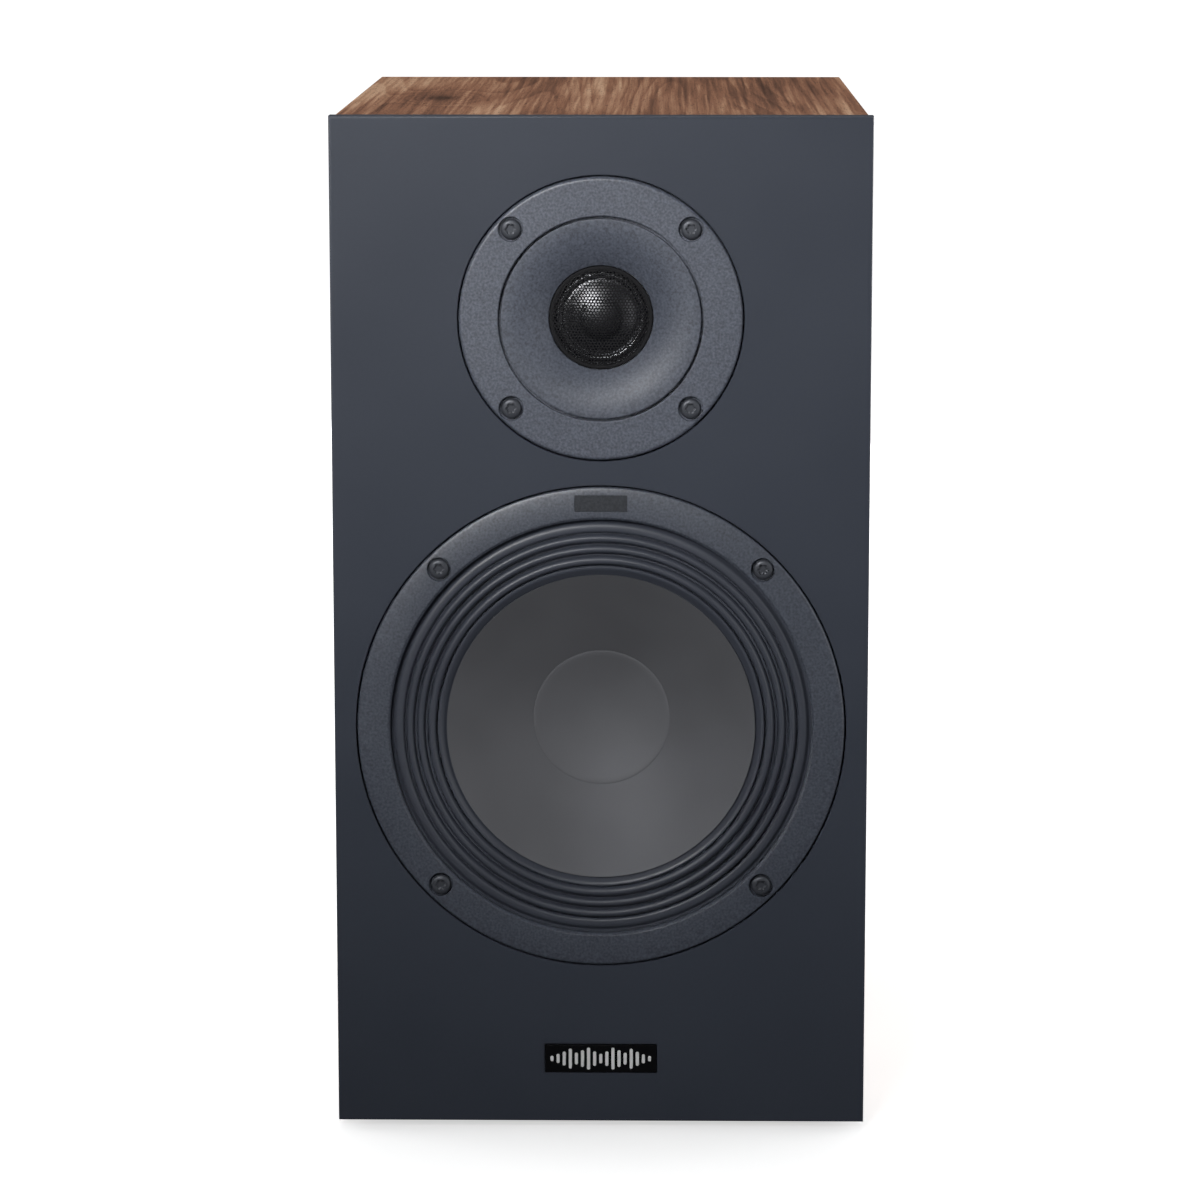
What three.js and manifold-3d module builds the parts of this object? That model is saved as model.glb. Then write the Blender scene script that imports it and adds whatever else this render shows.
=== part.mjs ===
// Two-way bass reflex bookshelf speaker, in millimetres.
// +Z is up, the baffle faces -Y, and the origin is on the floor under the middle of the cabinet.
// Each driver is drawn round its own axis: radius, and depth behind the baffle's face.
import * as THREE from 'three';
import { mergeVertices } from 'three/addons/utils/BufferGeometryUtils.js';
import Module from 'manifold-3d';

const wasm = await Module();
wasm.setup();

// ---------------------------------------------------------------- driving dimensions

const fit = 0.3; // gap between pieces that touch
const facets = { large: 32, medium: 16, small: 8 };

const cabinet = {
  width: 190,
  height: 362.5,
  depth: 276, // baffle face to rear face
  wall: 15,
  shellInset: 0.8, // how far the wooden shell stands in from the baffle's edge
};

const baffle = {
  lip: 10, // the part that covers the shell's front edges
  tongue: 12, // the part that fits inside the shell
  bevel: 1,
  topMargin: 19.8, // top edge to the tweeter's recess
  land: 7.3, // between the two drivers' recesses
};

const foot = { radius: 10, height: 3.5, bevel: 0.8, taper: 1, inset: 24 };

const brace = { thickness: 12, rail: 20 };

const badge = { width: 40.2, height: 10.4, thickness: 1.2, proud: 0.6, bevel: 0.3, centreAboveBase: 23.7 };

const woofer = {
  ringRadius: 86.8,
  ringWidth: 11.6,
  ringProud: 0.8,
  ringThickness: 4,
  ringEdge: 1.6, // round on the ring's outer edge
  ringBevel: { width: 0.6, depth: 0.8 },
  recessClearance: 1.2,
  cutClearance: 0.8,
  flangeThickness: 3,
  surroundWidth: 20.2,
  surroundThickness: 0.9,
  coneRimDepth: 2,
  coneThickness: 1,
  coneBow: 0.8, // how far the cone's profile bows from straight
  capRadius: 25.3,
  capDepth: 19,
  capDish: 4,
  capThickness: 0.8,
  capGlueEdge: 1.4,
  coilRadius: 19,
  coilWall: 0.4,
  coilWinding: 0.7,
  coilGap: 0.5,
  windingLength: 14,
  windingOverhang: 3, // winding in front of the top plate's seat
  basketDepth: 49,
  basketWall: 3,
  spokes: 6,
  windowShare: 0.68, // of the turn between two spokes
  landingOverhang: 8, // the spider's landing beyond the magnet
  magnetRadius: 50,
  magnetThickness: 18,
  magnetClearance: 6,
  plateRadius: 45,
  plateThickness: 6,
  ventRadius: 8,
};

const surroundRolls = {
  count: 3,
  pitch: 3.8,
  firstCrest: 6, // from the cone's rim
  crestDepth: 0.5,
  valleyRise: 0.7,
  bandRise: 1.4,
};

const ringPlate = { width: 18.9, height: 6.2, depth: 0.5 };

const solderTag = { width: 12, height: 8, thickness: 2 };

const spider = { waves: 5, lift: 1.8, thickness: 0.6, edge: 2 };

const tweeter = {
  plateRadius: 49.9,
  plateThickness: 4.7,
  plateProud: 0.5,
  plateEdge: 0.9,
  recessClearance: 1.1,
  cutClearance: 4,
  screwInset: 5.3,
  seam: 0.9,
  hornRadius: 35.2,
  hornRimDepth: -0.3,
  hornCurve: 2.2, // exponent of the flare
  hornFlange: 4.5,
  hornLedge: 2.4,
  throatRadius: 18.5,
  throatDepth: 5.2,
  throatLength: 6.3, // throat to the motor's front plate
  domeRadius: 12.9,
  domeRise: 3.2,
  domeThickness: 0.5,
  suspensionDepth: 2.2,
  coilLength: 6.2,
  coilWall: 0.5,
  magnetRadius: 34,
  magnetThickness: 8.7,
  magnetClearance: 4,
  platesThickness: 4,
  topPlateInset: 2,
  yokeInset: 4,
};

const grille = { thickness: 0.7, seat: 0.4, bossRadius: 7.5, bossRise: 2.8, meshRise: 2.3 };

const driverScrew = {
  shankRadius: 2,
  headRadius: 3.65,
  headHeight: 1.9,
  socketRadius: 1.95,
  socketDepth: 1.2,
  counterboreRadius: 4.25,
  length: 16,
  edge: 5.6, // screw circle to the flange's outer edge
  ringSeat: 2.4, // the woofer's counterbores below the ring's face
  plateSeat: 2.1, // the tweeter's counterbores below the plate's face
  pilotStop: 2, // wood left behind each pilot hole
};

const port = {
  boreRadius: 25,
  wall: 2.5,
  flare: 9,
  flangeRadius: 42,
  flangeEdge: 0.8,
  length: 120,
  centreBelowTop: 72,
  holeClearance: 0.6,
};

const cup = {
  flangeWidth: 108,
  flangeHeight: 86,
  recessWidth: 82,
  recessHeight: 60,
  recessDepth: 26, // from the flange's outer face
  wall: 3,
  cornerRadius: 8,
  centreAboveBase: 92,
  screwInset: 5.5,
  holeClearance: 1,
};

const wadding = { thickness: 32, cornerRadius: 10, margin: 5, frontMargin: 12, rearMargin: 30, clear: 1 };

const rearProud = 2.2; // how far the port's flange and the cup's flange stand behind the rear panel

const post = {
  spacing: 38,
  stemRadius: 3,
  bossRadius: 8,
  bossHeight: 3,
  washerRadius: 6.8,
  washerThickness: 1.6,
  capRadius: 7.5,
  capLength: 15.6,
  capEdge: 0.8,
  socketRadius: 2.1,
  socketDepth: 3,
};

const cupScrew = {
  shankRadius: 1.6,
  headRadius: 3.1,
  headHeight: 1.5,
  socketRadius: 1.5,
  socketDepth: 0.9,
  length: 12,
};

const board = { width: 84, height: 62, thickness: 1.6, standoff: 9, pillarRadius: 3, pillarInset: 5 };

const chokes = {
  woofer: { bore: 4, radius: 13, length: 18, x: -26, z: 17 },
  tweeter: { bore: 3, radius: 9, length: 12, x: 26, z: 18 },
};

const capacitors = {
  woofer: { radius: 7, length: 30, x: -23, z: -19 },
  tweeter: { radius: 6, length: 24, x: 20, z: -22 },
};

const resistor = { width: 9, length: 22, z: 17 };

// ---------------------------------------------------------------- places worked out from them

const baseZ = foot.height + fit - cabinet.shellInset; // the baffle's lower edge
const topZ = baseZ + cabinet.height;
const overallDepth = woofer.ringProud + cabinet.depth + rearProud + fit + cupScrew.headHeight;
const faceY = -overallDepth / 2 + woofer.ringProud; // the baffle's face
const rearY = faceY + cabinet.depth; // the rear panel's outer face
const shellFrontY = faceY + baffle.lip + fit;
const baffleDepth = baffle.lip + baffle.tongue;

const shell = {
  halfWidth: cabinet.width / 2 - cabinet.shellInset,
  low: baseZ + cabinet.shellInset,
  high: topZ - cabinet.shellInset,
};
const inside = {
  halfWidth: shell.halfWidth - cabinet.wall,
  low: shell.low + cabinet.wall,
  high: shell.high - cabinet.wall,
  front: faceY + baffleDepth,
  rear: rearY - cabinet.wall,
};

const portZ = topZ - port.centreBelowTop;
const cupZ = baseZ + cup.centreAboveBase;
const cupFloorY = rearY + rearProud - cup.recessDepth;

const ringInner = woofer.ringRadius - woofer.ringWidth;
const coneRadius = ringInner - woofer.surroundWidth;
const wooferRecess = woofer.ringRadius + woofer.recessClearance;
const wooferCut = ringInner + woofer.cutClearance;
const wooferScrewCircle = woofer.ringRadius - driverScrew.edge;
const surroundSeat = woofer.ringThickness - woofer.ringProud + fit; // depth of the ring's back face
const flangeFront = surroundSeat + woofer.surroundThickness + fit;
const flangeBack = flangeFront + woofer.flangeThickness;

const hornBore = tweeter.hornRadius + tweeter.seam;
const hornNeck = tweeter.hornRadius - tweeter.hornFlange;
const tweeterBack = tweeter.plateThickness - tweeter.plateProud;
const tweeterRecess = tweeter.plateRadius + tweeter.recessClearance;
const tweeterZ = topZ - baffle.topMargin - tweeterRecess;
const wooferZ = tweeterZ - tweeterRecess - baffle.land - wooferRecess;
const tweeterCut = tweeter.magnetRadius + tweeter.cutClearance;
const tweeterScrewCircle = tweeter.plateRadius - tweeter.screwInset;
const motorFront = tweeter.throatDepth + tweeter.throatLength;

const windingStart = woofer.basketDepth - woofer.windingOverhang;
const windingEnd = windingStart + woofer.windingLength;
const landing = {
  radius: woofer.magnetRadius + woofer.landingOverhang,
  hole: woofer.magnetRadius - 7,
  depth: flangeBack + (woofer.basketDepth - flangeBack) * 0.6,
};

const portCollar = port.boreRadius + port.flare + port.wall;
const boardFront = cupFloorY - cup.wall - board.standoff; // the face that rests on the pillars
const braceZ = (wooferZ + wooferCut + tweeterZ - tweeterCut) / 2 - brace.thickness / 2;

// ---------------------------------------------------------------- solids

function meshToSolid(geometry) {
  const bare = geometry.clone();
  bare.deleteAttribute('normal');
  bare.deleteAttribute('uv');
  const merged = mergeVertices(bare, 1e-4);
  const corners = merged.index.array;
  const kept = [];
  for (let i = 0; i < corners.length; i += 3) {
    const [a, b, c] = [corners[i], corners[i + 1], corners[i + 2]];
    if (a !== b && b !== c && c !== a) kept.push(a, b, c);
  }
  const vertProperties = merged.attributes.position.array;
  return new wasm.Manifold(new wasm.Mesh({ numProp: 3, vertProperties, triVerts: new Uint32Array(kept) }));
}

function solidToMesh(solid) {
  const { vertProperties, triVerts } = solid.getMesh();
  const geometry = new THREE.BufferGeometry();
  geometry.setAttribute('position', new THREE.BufferAttribute(vertProperties, 3));
  geometry.setIndex(new THREE.BufferAttribute(triVerts, 1));
  const flat = geometry.toNonIndexed();
  flat.computeVertexNormals();
  return flat;
}

function carve(base, { add = [], remove = [] }) {
  let solid = meshToSolid(base);
  for (const piece of add) solid = solid.add(meshToSolid(piece));
  for (const piece of remove) solid = solid.subtract(meshToSolid(piece));
  return solidToMesh(solid);
}

// Turns an outline of [radius, depth] points about the Y axis. An outline off the axis closes on itself.
function revolve(points, segments = facets.large) {
  const outline = points.map(([radius, depth]) => new THREE.Vector2(radius, depth));
  if (THREE.ShapeUtils.area(outline) < 0) outline.reverse();
  if (outline[0].x > 0 || outline.at(-1).x > 0) outline.push(outline[0].clone());
  return new THREE.LatheGeometry(outline, segments);
}

function tubeRing(inner, outer, from, to, segments = facets.large) {
  return revolve([[outer, from], [outer, to], [inner, to], [inner, from]], segments);
}

function rod(radius, from, to, segments = facets.medium) {
  return new THREE.CylinderGeometry(radius, radius, to - from, segments).translate(0, (from + to) / 2, 0);
}

// An outline in the XZ plane, as thick as from one depth to another.
function slab(shape, from, to, bevel = 0) {
  const options = { depth: to - from - 2 * bevel, bevelEnabled: bevel > 0, curveSegments: 3 };
  Object.assign(options, { bevelThickness: bevel, bevelSize: bevel, bevelOffset: -bevel, bevelSegments: 1 });
  return new THREE.ExtrudeGeometry(shape, options).rotateX(Math.PI / 2).translate(0, to - bevel, 0);
}

function polygon(points) {
  return new THREE.Shape(points.map(([x, y]) => new THREE.Vector2(x, y)));
}

function rectangle(width, height, x = 0, y = 0) {
  const [w, h] = [width / 2, height / 2];
  return polygon([[x - w, y - h], [x + w, y - h], [x + w, y + h], [x - w, y + h]]);
}

function roundedRectangle(width, height, radius) {
  const [w, h] = [width / 2 - radius, height / 2 - radius];
  const shape = new THREE.Shape();
  shape.absarc(w, -h, radius, -Math.PI / 2, 0);
  shape.absarc(w, h, radius, 0, Math.PI / 2);
  shape.absarc(-w, h, radius, Math.PI / 2, Math.PI);
  shape.absarc(-w, -h, radius, Math.PI, 1.5 * Math.PI);
  return shape;
}

// The four places of a driver's or a cup's screws, as [name, x, z].
function corners(halfX, halfZ = halfX) {
  return [
    ['upper_left', -halfX, halfZ],
    ['upper_right', halfX, halfZ],
    ['lower_left', -halfX, -halfZ],
    ['lower_right', halfX, -halfZ],
  ];
}

function diagonal(circleRadius) {
  return corners(circleRadius * Math.SQRT1_2);
}

// ---------------------------------------------------------------- the scene graph

const finishes = {
  walnut: [0x8b6452, 0.55, 0],
  baffle: [0x45484f, 0.5, 0],
  rubber: [0x1a1a1b, 0.8, 0],
  mdf: [0xb39a77, 0.9, 0],
  satinPlastic: [0x55585f, 0.6, 0],
  blackPlastic: [0x1c1c1e, 0.5, 0],
  redPlastic: [0xa3161b, 0.4, 0],
  surround: [0x33353a, 0.6, 0],
  cone: [0x55565a, 0.4, 0.6],
  mesh: [0x19191a, 0.5, 0.8],
  steel: [0x7d7f82, 0.4, 1],
  brass: [0xc8a24a, 0.3, 1],
  ferrite: [0x2b2b2d, 0.8, 0],
  copper: [0xb1662c, 0.35, 1],
  cloth: [0xc2a05c, 0.9, 0],
  wadding: [0xe9e7e0, 1, 0],
  circuitBoard: [0x1f4a33, 0.6, 0],
  ceramic: [0xdedcd4, 0.8, 0],
  blackMetal: [0x26272a, 0.4, 0.7],
};

function piece(parent, name, finish, geometry, position = [0, 0, 0]) {
  const [color, roughness, metalness] = finishes[finish];
  const mesh = new THREE.Mesh(geometry, new THREE.MeshStandardMaterial({ color, roughness, metalness }));
  mesh.name = name;
  mesh.position.set(...position);
  parent.add(mesh);
  return mesh;
}

function group(parent, x, y, z) {
  const made = new THREE.Group();
  made.position.set(x, y, z);
  parent.add(made);
  return made;
}

// ---------------------------------------------------------------- cabinet

// The four walls meet on mitres, each drawn back so that the joint keeps its gap.
function addShell(parent) {
  const draw = (fit / 2) * Math.SQRT2;
  const level = (outer, inner) => {
    const [x, ix] = [shell.halfWidth - draw, inside.halfWidth - draw];
    return [[-x, outer], [-ix, inner], [ix, inner], [x, outer]];
  };
  const upright = (side) => {
    const [x, ix] = [side * shell.halfWidth, side * inside.halfWidth];
    return [[x, shell.low + draw], [x, shell.high - draw], [ix, inside.high - draw], [ix, inside.low + draw]];
  };
  const walls = {
    top_panel: level(shell.high, inside.high),
    bottom_panel: level(shell.low, inside.low),
    left_side_panel: upright(-1),
    right_side_panel: upright(1),
  };
  for (const [name, outline] of Object.entries(walls)) {
    piece(parent, name, 'walnut', slab(polygon(outline), shellFrontY, rearY));
  }
}

function insideSlab(from, to) {
  const width = 2 * (inside.halfWidth - fit);
  const height = inside.high - inside.low - 2 * fit;
  return slab(rectangle(width, height, 0, (inside.high + inside.low) / 2), from, to);
}

function addBaffle(parent) {
  const board = rectangle(cabinet.width, cabinet.height, 0, (baseZ + topZ) / 2);
  const lip = slab(board, faceY, faceY + baffle.lip, baffle.bevel);
  const tongue = insideSlab(faceY + baffle.lip - 1, faceY + baffleDepth);
  const front = faceY - 1;
  const back = faceY + baffleDepth + 1;
  const pilotRadius = driverScrew.shankRadius + fit;
  const pilotEnd = faceY + baffleDepth - driverScrew.pilotStop;
  const drivers = [
    [wooferZ, wooferRecess, flangeBack + fit, wooferCut, wooferScrewCircle],
    [tweeterZ, tweeterRecess, tweeterBack + fit, tweeterCut, tweeterScrewCircle],
  ];
  const remove = [];
  for (const [z, recess, recessDepth, cut, circle] of drivers) {
    remove.push(rod(recess, front, faceY + recessDepth, facets.large).translate(0, 0, z));
    remove.push(rod(cut, front, back, facets.large).translate(0, 0, z));
    for (const [, x, dz] of diagonal(circle)) {
      remove.push(rod(pilotRadius, front, pilotEnd, facets.small).translate(x, 0, z + dz));
    }
  }
  const pocketDepth = badge.thickness - badge.proud + fit;
  const pocket = rectangle(badge.width + 2 * fit, badge.height + 2 * fit, 0, baseZ + badge.centreAboveBase);
  remove.push(slab(pocket, front, faceY + pocketDepth));
  piece(parent, 'front_baffle', 'baffle', carve(lip, { add: [tongue], remove }));
}

function addRearPanel(parent) {
  const round = 2 * (cup.wall + cup.holeClearance);
  const cutOut = rectangle(cup.recessWidth + round, cup.recessHeight + round, 0, cupZ);
  const through = [inside.rear - 1, rearY + 1];
  const remove = [
    slab(cutOut, ...through),
    rod(portCollar + port.holeClearance, ...through, facets.large).translate(0, 0, portZ),
  ];
  const pilot = rod(cupScrew.shankRadius + fit, rearY - cupScrew.length, rearY + 1, facets.small);
  for (const [, x, z] of cupScrewPlaces()) {
    remove.push(pilot.clone().translate(x, 0, cupZ + z));
  }
  piece(parent, 'rear_panel', 'walnut', carve(insideSlab(inside.rear, rearY), { remove }));
}

function addWindowBrace(parent) {
  const halfX = inside.halfWidth - fit;
  const front = inside.front + fit;
  const rear = inside.rear - fit;
  const middle = (front + rear) / 2;
  const plate = polygon([[-halfX, front], [halfX, front], [halfX, rear], [-halfX, rear]]);
  const windowX = halfX - brace.rail;
  const windows = [
    [front + brace.rail, middle - brace.rail / 2],
    [middle + brace.rail / 2, rear - brace.rail],
  ];
  for (const [from, to] of windows) {
    const outline = [[-windowX, from], [-windowX, to], [windowX, to], [windowX, from]];
    plate.holes.push(new THREE.Path(outline.map(([x, y]) => new THREE.Vector2(x, y))));
  }
  const geometry = new THREE.ExtrudeGeometry(plate, { depth: brace.thickness, bevelEnabled: false });
  piece(parent, 'window_brace', 'mdf', geometry, [0, 0, braceZ]);
}

function addFeet(parent) {
  const { radius, height, bevel, taper, inset } = foot;
  const outline = [[0, 0], [radius - bevel, 0], [radius, bevel], [radius - taper, height], [0, height]];
  const geometry = revolve(outline, facets.medium).rotateX(Math.PI / 2);
  const x = shell.halfWidth - inset;
  const places = { front: shellFrontY + inset, rear: rearY - inset };
  for (const [row, y] of Object.entries(places)) {
    piece(parent, `foot_${row}_left`, 'rubber', geometry.clone(), [-x, y, 0]);
    piece(parent, `foot_${row}_right`, 'rubber', geometry.clone(), [x, y, 0]);
  }
}

function addBadge(parent) {
  const outline = rectangle(badge.width, badge.height);
  const plate = slab(outline, -badge.proud, badge.thickness - badge.proud, badge.bevel);
  piece(parent, 'badge_plate', 'blackPlastic', plate, [0, faceY, baseZ + badge.centreAboveBase]);
}

function addWadding(parent) {
  const { thickness, cornerRadius, margin, frontMargin, rearMargin, clear } = wadding;
  const outline = roundedRectangle(2 * (inside.halfWidth - margin), thickness, cornerRadius);
  const pad = slab(outline, inside.front + frontMargin, inside.rear - rearMargin);
  piece(parent, 'damping_wadding', 'wadding', pad, [0, 0, inside.low + clear + thickness / 2]);
}

// ---------------------------------------------------------------- screws

// A pan head on a shank along +Y; the head's underside is at depth 0.
function screwGeometry({ shankRadius, headRadius, headHeight, socketRadius, socketDepth, length }) {
  const outline = [
    [0, -headHeight],
    [headRadius * 0.72, -headHeight],
    [headRadius, -headHeight * 0.4],
    [headRadius, 0],
    [shankRadius, 0],
    [shankRadius, length - shankRadius],
    [0, length],
  ];
  const socket = new THREE.CylinderGeometry(socketRadius, socketRadius, socketDepth, 6);
  socket.translate(0, -headHeight + socketDepth / 2 - 0.01, 0);
  return carve(revolve(outline, facets.small), { remove: [socket] });
}

function addDriverScrews(parent, name, circleRadius, seat) {
  const geometry = screwGeometry(driverScrew);
  for (const [place, x, z] of diagonal(circleRadius)) {
    piece(parent, `${name}_screw_${place}`, 'blackMetal', geometry.clone(), [x, seat - fit, z]);
  }
}

// The cuts that let the screws through a flange, counterbored down to the seat.
function screwHoles(circleRadius, seat, back) {
  const holes = [];
  for (const [, x, z] of diagonal(circleRadius)) {
    holes.push(rod(driverScrew.counterboreRadius, -5, seat, facets.medium).translate(x, 0, z));
    holes.push(rod(driverScrew.shankRadius + fit, -5, back + 1, facets.small).translate(x, 0, z));
  }
  return holes;
}

// ---------------------------------------------------------------- woofer

function addTrimRing(parent, seat) {
  const { ringRadius, ringWidth, ringProud, ringThickness, ringEdge, ringBevel } = woofer;
  const back = ringThickness - ringProud;
  const outline = [[ringInner + ringBevel.width, -ringProud]];
  const steps = 3;
  for (let i = 0; i <= steps; i += 1) {
    const turn = (i / steps) * (Math.PI / 2);
    const inset = ringEdge * (1 - Math.sin(turn));
    const drop = ringEdge * (1 - Math.cos(turn));
    outline.push([ringRadius - inset, drop - ringProud]);
  }
  outline.push([ringRadius, back], [ringInner, back], [ringInner, ringBevel.depth - ringProud]);
  const ring = revolve(outline);
  const pocket = rectangle(ringPlate.width, ringPlate.height, 0, ringRadius - ringWidth / 2);
  const plate = slab(pocket, -ringProud - 1, -ringProud + ringPlate.depth);
  const remove = [plate, ...screwHoles(wooferScrewCircle, seat, back)];
  piece(parent, 'woofer_trim_ring', 'satinPlastic', carve(ring, { remove }));
}

// The front surface from the clamped rim in to the cone: a low band, three rolls and the slope to the cone.
function surroundOutline() {
  const { count, pitch, firstCrest, crestDepth, valleyRise, bandRise } = surroundRolls;
  const innerCrest = coneRadius + firstCrest;
  const rim = ringInner - 1.2;
  const front = [[ringInner + 2, surroundSeat], [rim, surroundSeat]];
  front.push([Math.min(rim - 1, innerCrest + count * pitch), surroundSeat - bandRise]);
  for (let roll = count - 1; roll >= 0; roll -= 1) {
    const crest = innerCrest + roll * pitch;
    front.push([crest + pitch / 2, surroundSeat - valleyRise]);
    front.push([crest, crestDepth]);
  }
  const lip = coneRadius - 3; // glued behind the cone's rim
  const behind = woofer.coneThickness + fit;
  front.push([coneRadius + 3.6, 1.3]);
  front.push([coneRadius + 0.6, woofer.coneRimDepth + behind + 0.2]);
  front.push([lip, coneDepth(lip) + behind]);
  return front;
}

function addSurround(parent) {
  const front = surroundOutline();
  const back = front.map(([radius, depth]) => [radius, depth + woofer.surroundThickness]).reverse();
  piece(parent, 'woofer_surround', 'surround', revolve([...front, ...back]));
}

// Depth of the cone's front surface, bowed a little deeper than straight.
function coneDepth(radius) {
  const share = (coneRadius - radius) / (coneRadius - woofer.capRadius);
  const straight = woofer.coneRimDepth + share * (woofer.capDepth - woofer.coneRimDepth);
  return straight + woofer.coneBow * share * Math.max(0, 1 - share);
}

function addCone(parent) {
  const neck = woofer.coilRadius + woofer.coilWall + 0.35;
  const front = [];
  const steps = 5;
  for (let i = 0; i <= steps; i += 1) {
    const radius = coneRadius + (neck - coneRadius) * (i / steps);
    front.push([radius, coneDepth(radius)]);
  }
  const back = front.map(([radius, depth]) => [radius, depth + woofer.coneThickness]).reverse();
  piece(parent, 'woofer_cone', 'cone', revolve([...front, ...back]));
}

function addDustCap(parent) {
  const { capRadius, capDish, capGlueEdge, capThickness } = woofer;
  const rim = coneDepth(capRadius) - woofer.coneThickness - fit * 1.6;
  const front = [[capRadius - capGlueEdge, rim]];
  const steps = 4;
  for (let i = 1; i <= steps; i += 1) {
    const share = 1 - i / steps;
    front.push([capRadius * share, rim + capDish * (1 - share ** 2)]);
  }
  const back = front.map(([radius, depth]) => [radius, depth + capThickness]).reverse();
  piece(parent, 'woofer_dust_cap', 'cone', revolve([...front, ...back]));
}

function addVoiceCoil(parent) {
  const { coilRadius, coilWall, coilWinding } = woofer;
  const outer = coilRadius + coilWall;
  const outline = [
    [coilRadius, woofer.capDepth + 4],
    [outer, woofer.capDepth + 4],
    [outer, windingStart],
    [outer + coilWinding, windingStart],
    [outer + coilWinding, windingEnd],
    [outer, windingEnd],
    [outer, windingEnd + 2],
    [coilRadius, windingEnd + 2],
  ];
  piece(parent, 'woofer_voice_coil', 'copper', revolve(outline));
}

// The basket: a screwed flange, a tapered wall cut into spokes, a landing for the spider and a magnet seat.
function addBasket(parent) {
  const { basketDepth: rear, basketWall: wall, ringRadius, magnetRadius } = woofer;
  const wallTop = wooferCut - 1.5;
  const coilHole = woofer.coilRadius + woofer.coilWall + woofer.coilWinding + 4;
  const outline = [
    [ringRadius, flangeFront],
    [ringRadius, flangeBack],
    [wallTop, flangeBack],
    [landing.radius, landing.depth],
    [landing.radius, landing.depth + wall],
    [landing.hole + wall, landing.depth + wall],
    [landing.hole + wall, rear],
    [coilHole, rear],
    [coilHole, rear - wall],
    [landing.hole, rear - wall],
    [landing.hole, landing.depth],
    [landing.radius - wall, landing.depth],
    [wallTop - wall, flangeBack],
    [ringInner - 4, flangeFront],
  ];
  const step = (2 * Math.PI) / woofer.spokes;
  const remove = screwHoles(wooferScrewCircle, flangeFront, rear);
  for (let i = 0; i < woofer.spokes; i += 1) {
    const half = (step * woofer.windowShare) / 2;
    const [a, b] = [i * step - half, i * step + half];
    const [near, far] = [magnetRadius * 0.8, ringRadius + 10];
    const wedge = polygon([
      [near * Math.cos(a), near * Math.sin(a)],
      [far * Math.cos(a), far * Math.sin(a)],
      [far * Math.cos(b), far * Math.sin(b)],
      [near * Math.cos(b), near * Math.sin(b)],
    ]);
    remove.push(slab(wedge, flangeBack + 3, landing.depth - 1));
  }
  const tagZ = 1 - landing.radius - solderTag.height / 2;
  const tagOutline = rectangle(solderTag.width, solderTag.height, 0, tagZ);
  const tag = slab(tagOutline, landing.depth, landing.depth + solderTag.thickness);
  piece(parent, 'woofer_basket', 'blackMetal', carve(revolve(outline), { add: [tag], remove }));
}

function addSpider(parent) {
  const inner = woofer.coilRadius + woofer.coilWall + fit;
  const outer = landing.radius - woofer.basketWall - spider.edge;
  const rest = landing.depth - fit - spider.thickness;
  const front = [];
  for (let i = 0; i <= spider.waves; i += 1) {
    const lift = i % 2 === 1 && i < spider.waves ? spider.lift : 0;
    front.push([inner + (outer - inner) * (i / spider.waves), rest - lift]);
  }
  const back = front.map(([radius, depth]) => [radius, depth + spider.thickness]).reverse();
  piece(parent, 'woofer_spider', 'cloth', revolve([...front, ...back]));
}

function addWooferMotor(parent) {
  const { plateRadius, plateThickness, magnetRadius, magnetThickness, ventRadius } = woofer;
  const { coilRadius, coilWall } = woofer;
  const front = woofer.basketDepth + fit;
  const gapOuter = coilRadius + coilWall + woofer.coilWinding + woofer.coilGap;
  const poleRadius = coilRadius - woofer.coilGap;
  const plateBack = front + plateThickness;
  const magnetFront = plateBack + fit;
  const magnetBack = magnetFront + magnetThickness;
  const yokeFront = magnetBack + fit;
  const yokeBack = yokeFront + plateThickness;
  const magnetBore = gapOuter + woofer.magnetClearance;
  piece(parent, 'woofer_top_plate', 'steel', tubeRing(gapOuter, plateRadius, front, plateBack));
  piece(parent, 'woofer_magnet', 'ferrite', tubeRing(magnetBore, magnetRadius, magnetFront, magnetBack));
  const yoke = [
    [poleRadius, front],
    [poleRadius, yokeFront],
    [plateRadius, yokeFront],
    [plateRadius, yokeBack],
    [ventRadius, yokeBack],
    [ventRadius, front],
  ];
  piece(parent, 'woofer_back_plate_and_pole', 'steel', revolve(yoke));
}

function addWoofer(parent) {
  const driver = group(parent, 0, faceY, wooferZ);
  const seat = driverScrew.ringSeat - woofer.ringProud;
  addTrimRing(driver, seat);
  addSurround(driver);
  addCone(driver);
  addDustCap(driver);
  addVoiceCoil(driver);
  addBasket(driver);
  addSpider(driver);
  addWooferMotor(driver);
  addDriverScrews(driver, 'woofer', wooferScrewCircle, seat);
}

// ---------------------------------------------------------------- tweeter

function addFacePlate(parent, seat) {
  const { plateRadius, plateProud, plateEdge, hornLedge } = tweeter;
  const outline = [
    [hornBore, -plateProud],
    [plateRadius - plateEdge, -plateProud],
    [plateRadius - plateEdge * 0.3, -plateProud + plateEdge * 0.3],
    [plateRadius, -plateProud + plateEdge],
    [plateRadius, tweeterBack],
    [hornNeck + fit, tweeterBack],
    [hornNeck + fit, hornLedge],
    [hornBore, hornLedge],
  ];
  const remove = screwHoles(tweeterScrewCircle, seat, tweeterBack);
  piece(parent, 'tweeter_face_plate', 'satinPlastic', carve(revolve(outline), { remove }));
}

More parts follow.
